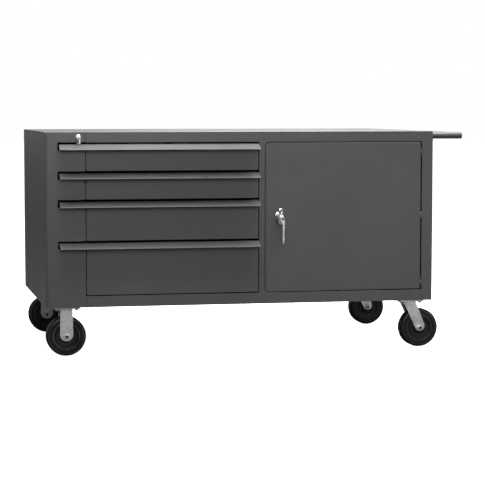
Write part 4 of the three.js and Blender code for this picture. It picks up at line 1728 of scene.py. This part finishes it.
# ------------------------------------------------------------------ studio
@dataclass(frozen=True)
class Softbox:
    """A large soft light: where it hangs, the point it is aimed at, its width and height, and its watts."""

    name: str
    place: tuple[float, float, float]
    aim: tuple[float, float, float]
    size: tuple[float, float]
    power: float


SOFTBOXES = (
    Softbox("overhead_softbox", (0.0, -0.62, 3.8), (0.0, -0.3, 0.6), (3.6, 2.2), 430.0),
    Softbox("front_softbox", (-0.6, -5.5, 2.2), (0.0, 0.0, 0.4), (3.0, 2.0), 104.0),
    Softbox("low_side_softbox", (2.3, -4.5, 0.3), (0.6, -0.4, 0.2), (1.8, 0.5), 8.0),
    Softbox("rear_softbox", (1.7, 4.8, 4.2), (0.2, 0.9, 0.4), (2.6, 1.2), 120.0),
    Softbox("right_softbox", (6.4, 0.5, 1.8), (0.8, 0.3, 0.5), (2.2, 1.6), 85.0),
)


@dataclass
class Studio:
    """Pale floor, white surroundings, soft lights and the camera."""

    yaw: float = 11.701
    pitch: float = 4.246
    stand: tuple[float, float, float] = (-1.49435, -7.29365, 0.9501)
    lens: float = 135.19
    sensor: float = 36.0

    def build(self) -> None:
        """Builds the studio round the cabinet."""
        bpy.context.scene.view_settings.view_transform = "Standard"
        self.camera()
        self.surroundings()
        self.floor()
        for box in SOFTBOXES:
            self.softbox(box)

    def camera(self) -> None:
        """Camera level with the top of the cabinet, looking slightly down and to the right."""
        yaw, pitch = math.radians(self.yaw), math.radians(self.pitch)
        ahead = Vector((math.sin(yaw) * math.cos(pitch), math.cos(yaw) * math.cos(pitch), -math.sin(pitch)))
        camera = bpy.data.objects.new("camera", bpy.data.cameras.new("camera"))
        bpy.context.scene.collection.objects.link(camera)
        camera.location = self.stand
        camera.rotation_euler = ahead.to_track_quat("-Z", "Y").to_euler()
        camera.data.sensor_width = self.sensor
        camera.data.lens = self.lens
        bpy.context.scene.camera = camera

    def surroundings(self) -> None:
        """White backdrop for the camera, and a room that is brighter overhead for everything else."""
        world = bpy.data.worlds.new("white_studio")
        bpy.context.scene.world = world
        world.use_nodes = True
        graph = Graph(world.node_tree)
        way = graph.add("ShaderNodeTexCoord").outputs["Generated"]
        split = graph.add("ShaderNodeSeparateXYZ", {0: way})
        overhead = graph.span(split.outputs["Z"], -0.05, 0.9, 0.2, 0.5)
        bright = graph.math("ADD", overhead, graph.span(split.outputs["Y"], 0.3, 1.0, 0.0, 0.16))
        seen = graph.add("ShaderNodeLightPath").outputs["Is Camera Ray"]
        strength = graph.math("ADD", graph.math("MULTIPLY", seen, 4.0), bright)
        background = world.node_tree.nodes["Background"]
        graph.tree.links.new(graph.math("MINIMUM", strength, 1.0), background.inputs["Strength"])
        background.inputs["Color"].default_value = (1, 1, 1, 1)

    def floor(self) -> None:
        """Wide pale floor with a faint mottle."""
        release()
        bpy.ops.mesh.primitive_plane_add(size=60, location=(0, 12, -0.0005))
        floor = settle("studio_floor")
        material, graph, surface = blank("pale_floor")
        seen = graph.add("ShaderNodeLightPath").outputs["Is Camera Ray"]
        mottle = graph.span(graph.noise(1.5, 3), 0.3, 0.7)
        tone = graph.blend(mottle, (0.88, 0.88, 0.88, 1), (0.92, 0.92, 0.92, 1))
        graph.tree.links.new(graph.blend(seen, (0.06, 0.06, 0.06, 1), tone), surface.inputs["Base Color"])
        graph.tree.links.new(graph.math("MULTIPLY", seen, 0.95), surface.inputs["Emission Strength"])
        surface.inputs["Roughness"].default_value = 0.9
        surface.inputs["Emission Color"].default_value = (1, 1, 1, 1)
        floor.data.materials.append(material)

    def softbox(self, box: Softbox) -> None:
        """One large soft light aimed at a point.

        Args:
            box: The light to hang.
        """
        light = bpy.data.lights.new(box.name, "AREA")
        light.shape, light.energy = "RECTANGLE", box.power
        light.size, light.size_y = box.size
        lamp = bpy.data.objects.new(box.name, light)
        bpy.context.scene.collection.objects.link(lamp)
        lamp.location = box.place
        lamp.rotation_euler = (Vector(box.aim) - Vector(box.place)).to_track_quat("-Z", "Y").to_euler()


# ------------------------------------------------------------------ whole cabinet
@dataclass
class BenchCabinet:
    """The whole cabinet, sub-assembly by sub-assembly."""

    outfit: Outfitter = field(default_factory=Outfitter)

    def build(self) -> None:
        """Builds each sub-assembly in order."""
        door_key = Key(
            "door_key",
            "door_spare_key",
            "door_spare_key_swing",
            bow_radius=9 * MM,
            plug_radius=5.5 * MM,
            ring_radius=9 * MM,
            wire=1.1 * MM,
            aside=6.5 * MM,
            blade=8.5 * MM,
        )
        flap_key = Key(
            "flap_key",
            "flap_spare_key",
            "flap_spare_key_swing",
            bow_radius=7.5 * MM,
            plug_radius=0.0,
            ring_radius=5 * MM,
            wire=0.9 * MM,
            aside=3.5 * MM,
            blade=5 * MM,
        )
        drawers = [Drawer(number) for number in (1, 2, 3, 4)]
        casters = [kind(row) for kind in (RigidCaster, SwivelCaster) for row in Row]
        locks = [FlapHinge(), FlapLock(), flap_key, Door(), DoorHinges(), DoorLock(), door_key]
        for assembly in [SheetMetal(), *drawers, *locks, PushHandle(), *casters]:
            LOG.info("building %s", type(assembly).__name__)
            assembly.build(self.outfit)
        LOG.info("%d pieces", self.outfit.count)


def write_sizes() -> None:
    """Updates the view layer."""
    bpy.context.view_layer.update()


def main() -> None:
    """Builds the studio and the cabinet."""
    logging.basicConfig(level=logging.INFO, format="%(name)s: %(message)s")
    Studio().build()
    BenchCabinet().build()
    write_sizes()
    release()


if __name__ == "__main__":
    main()
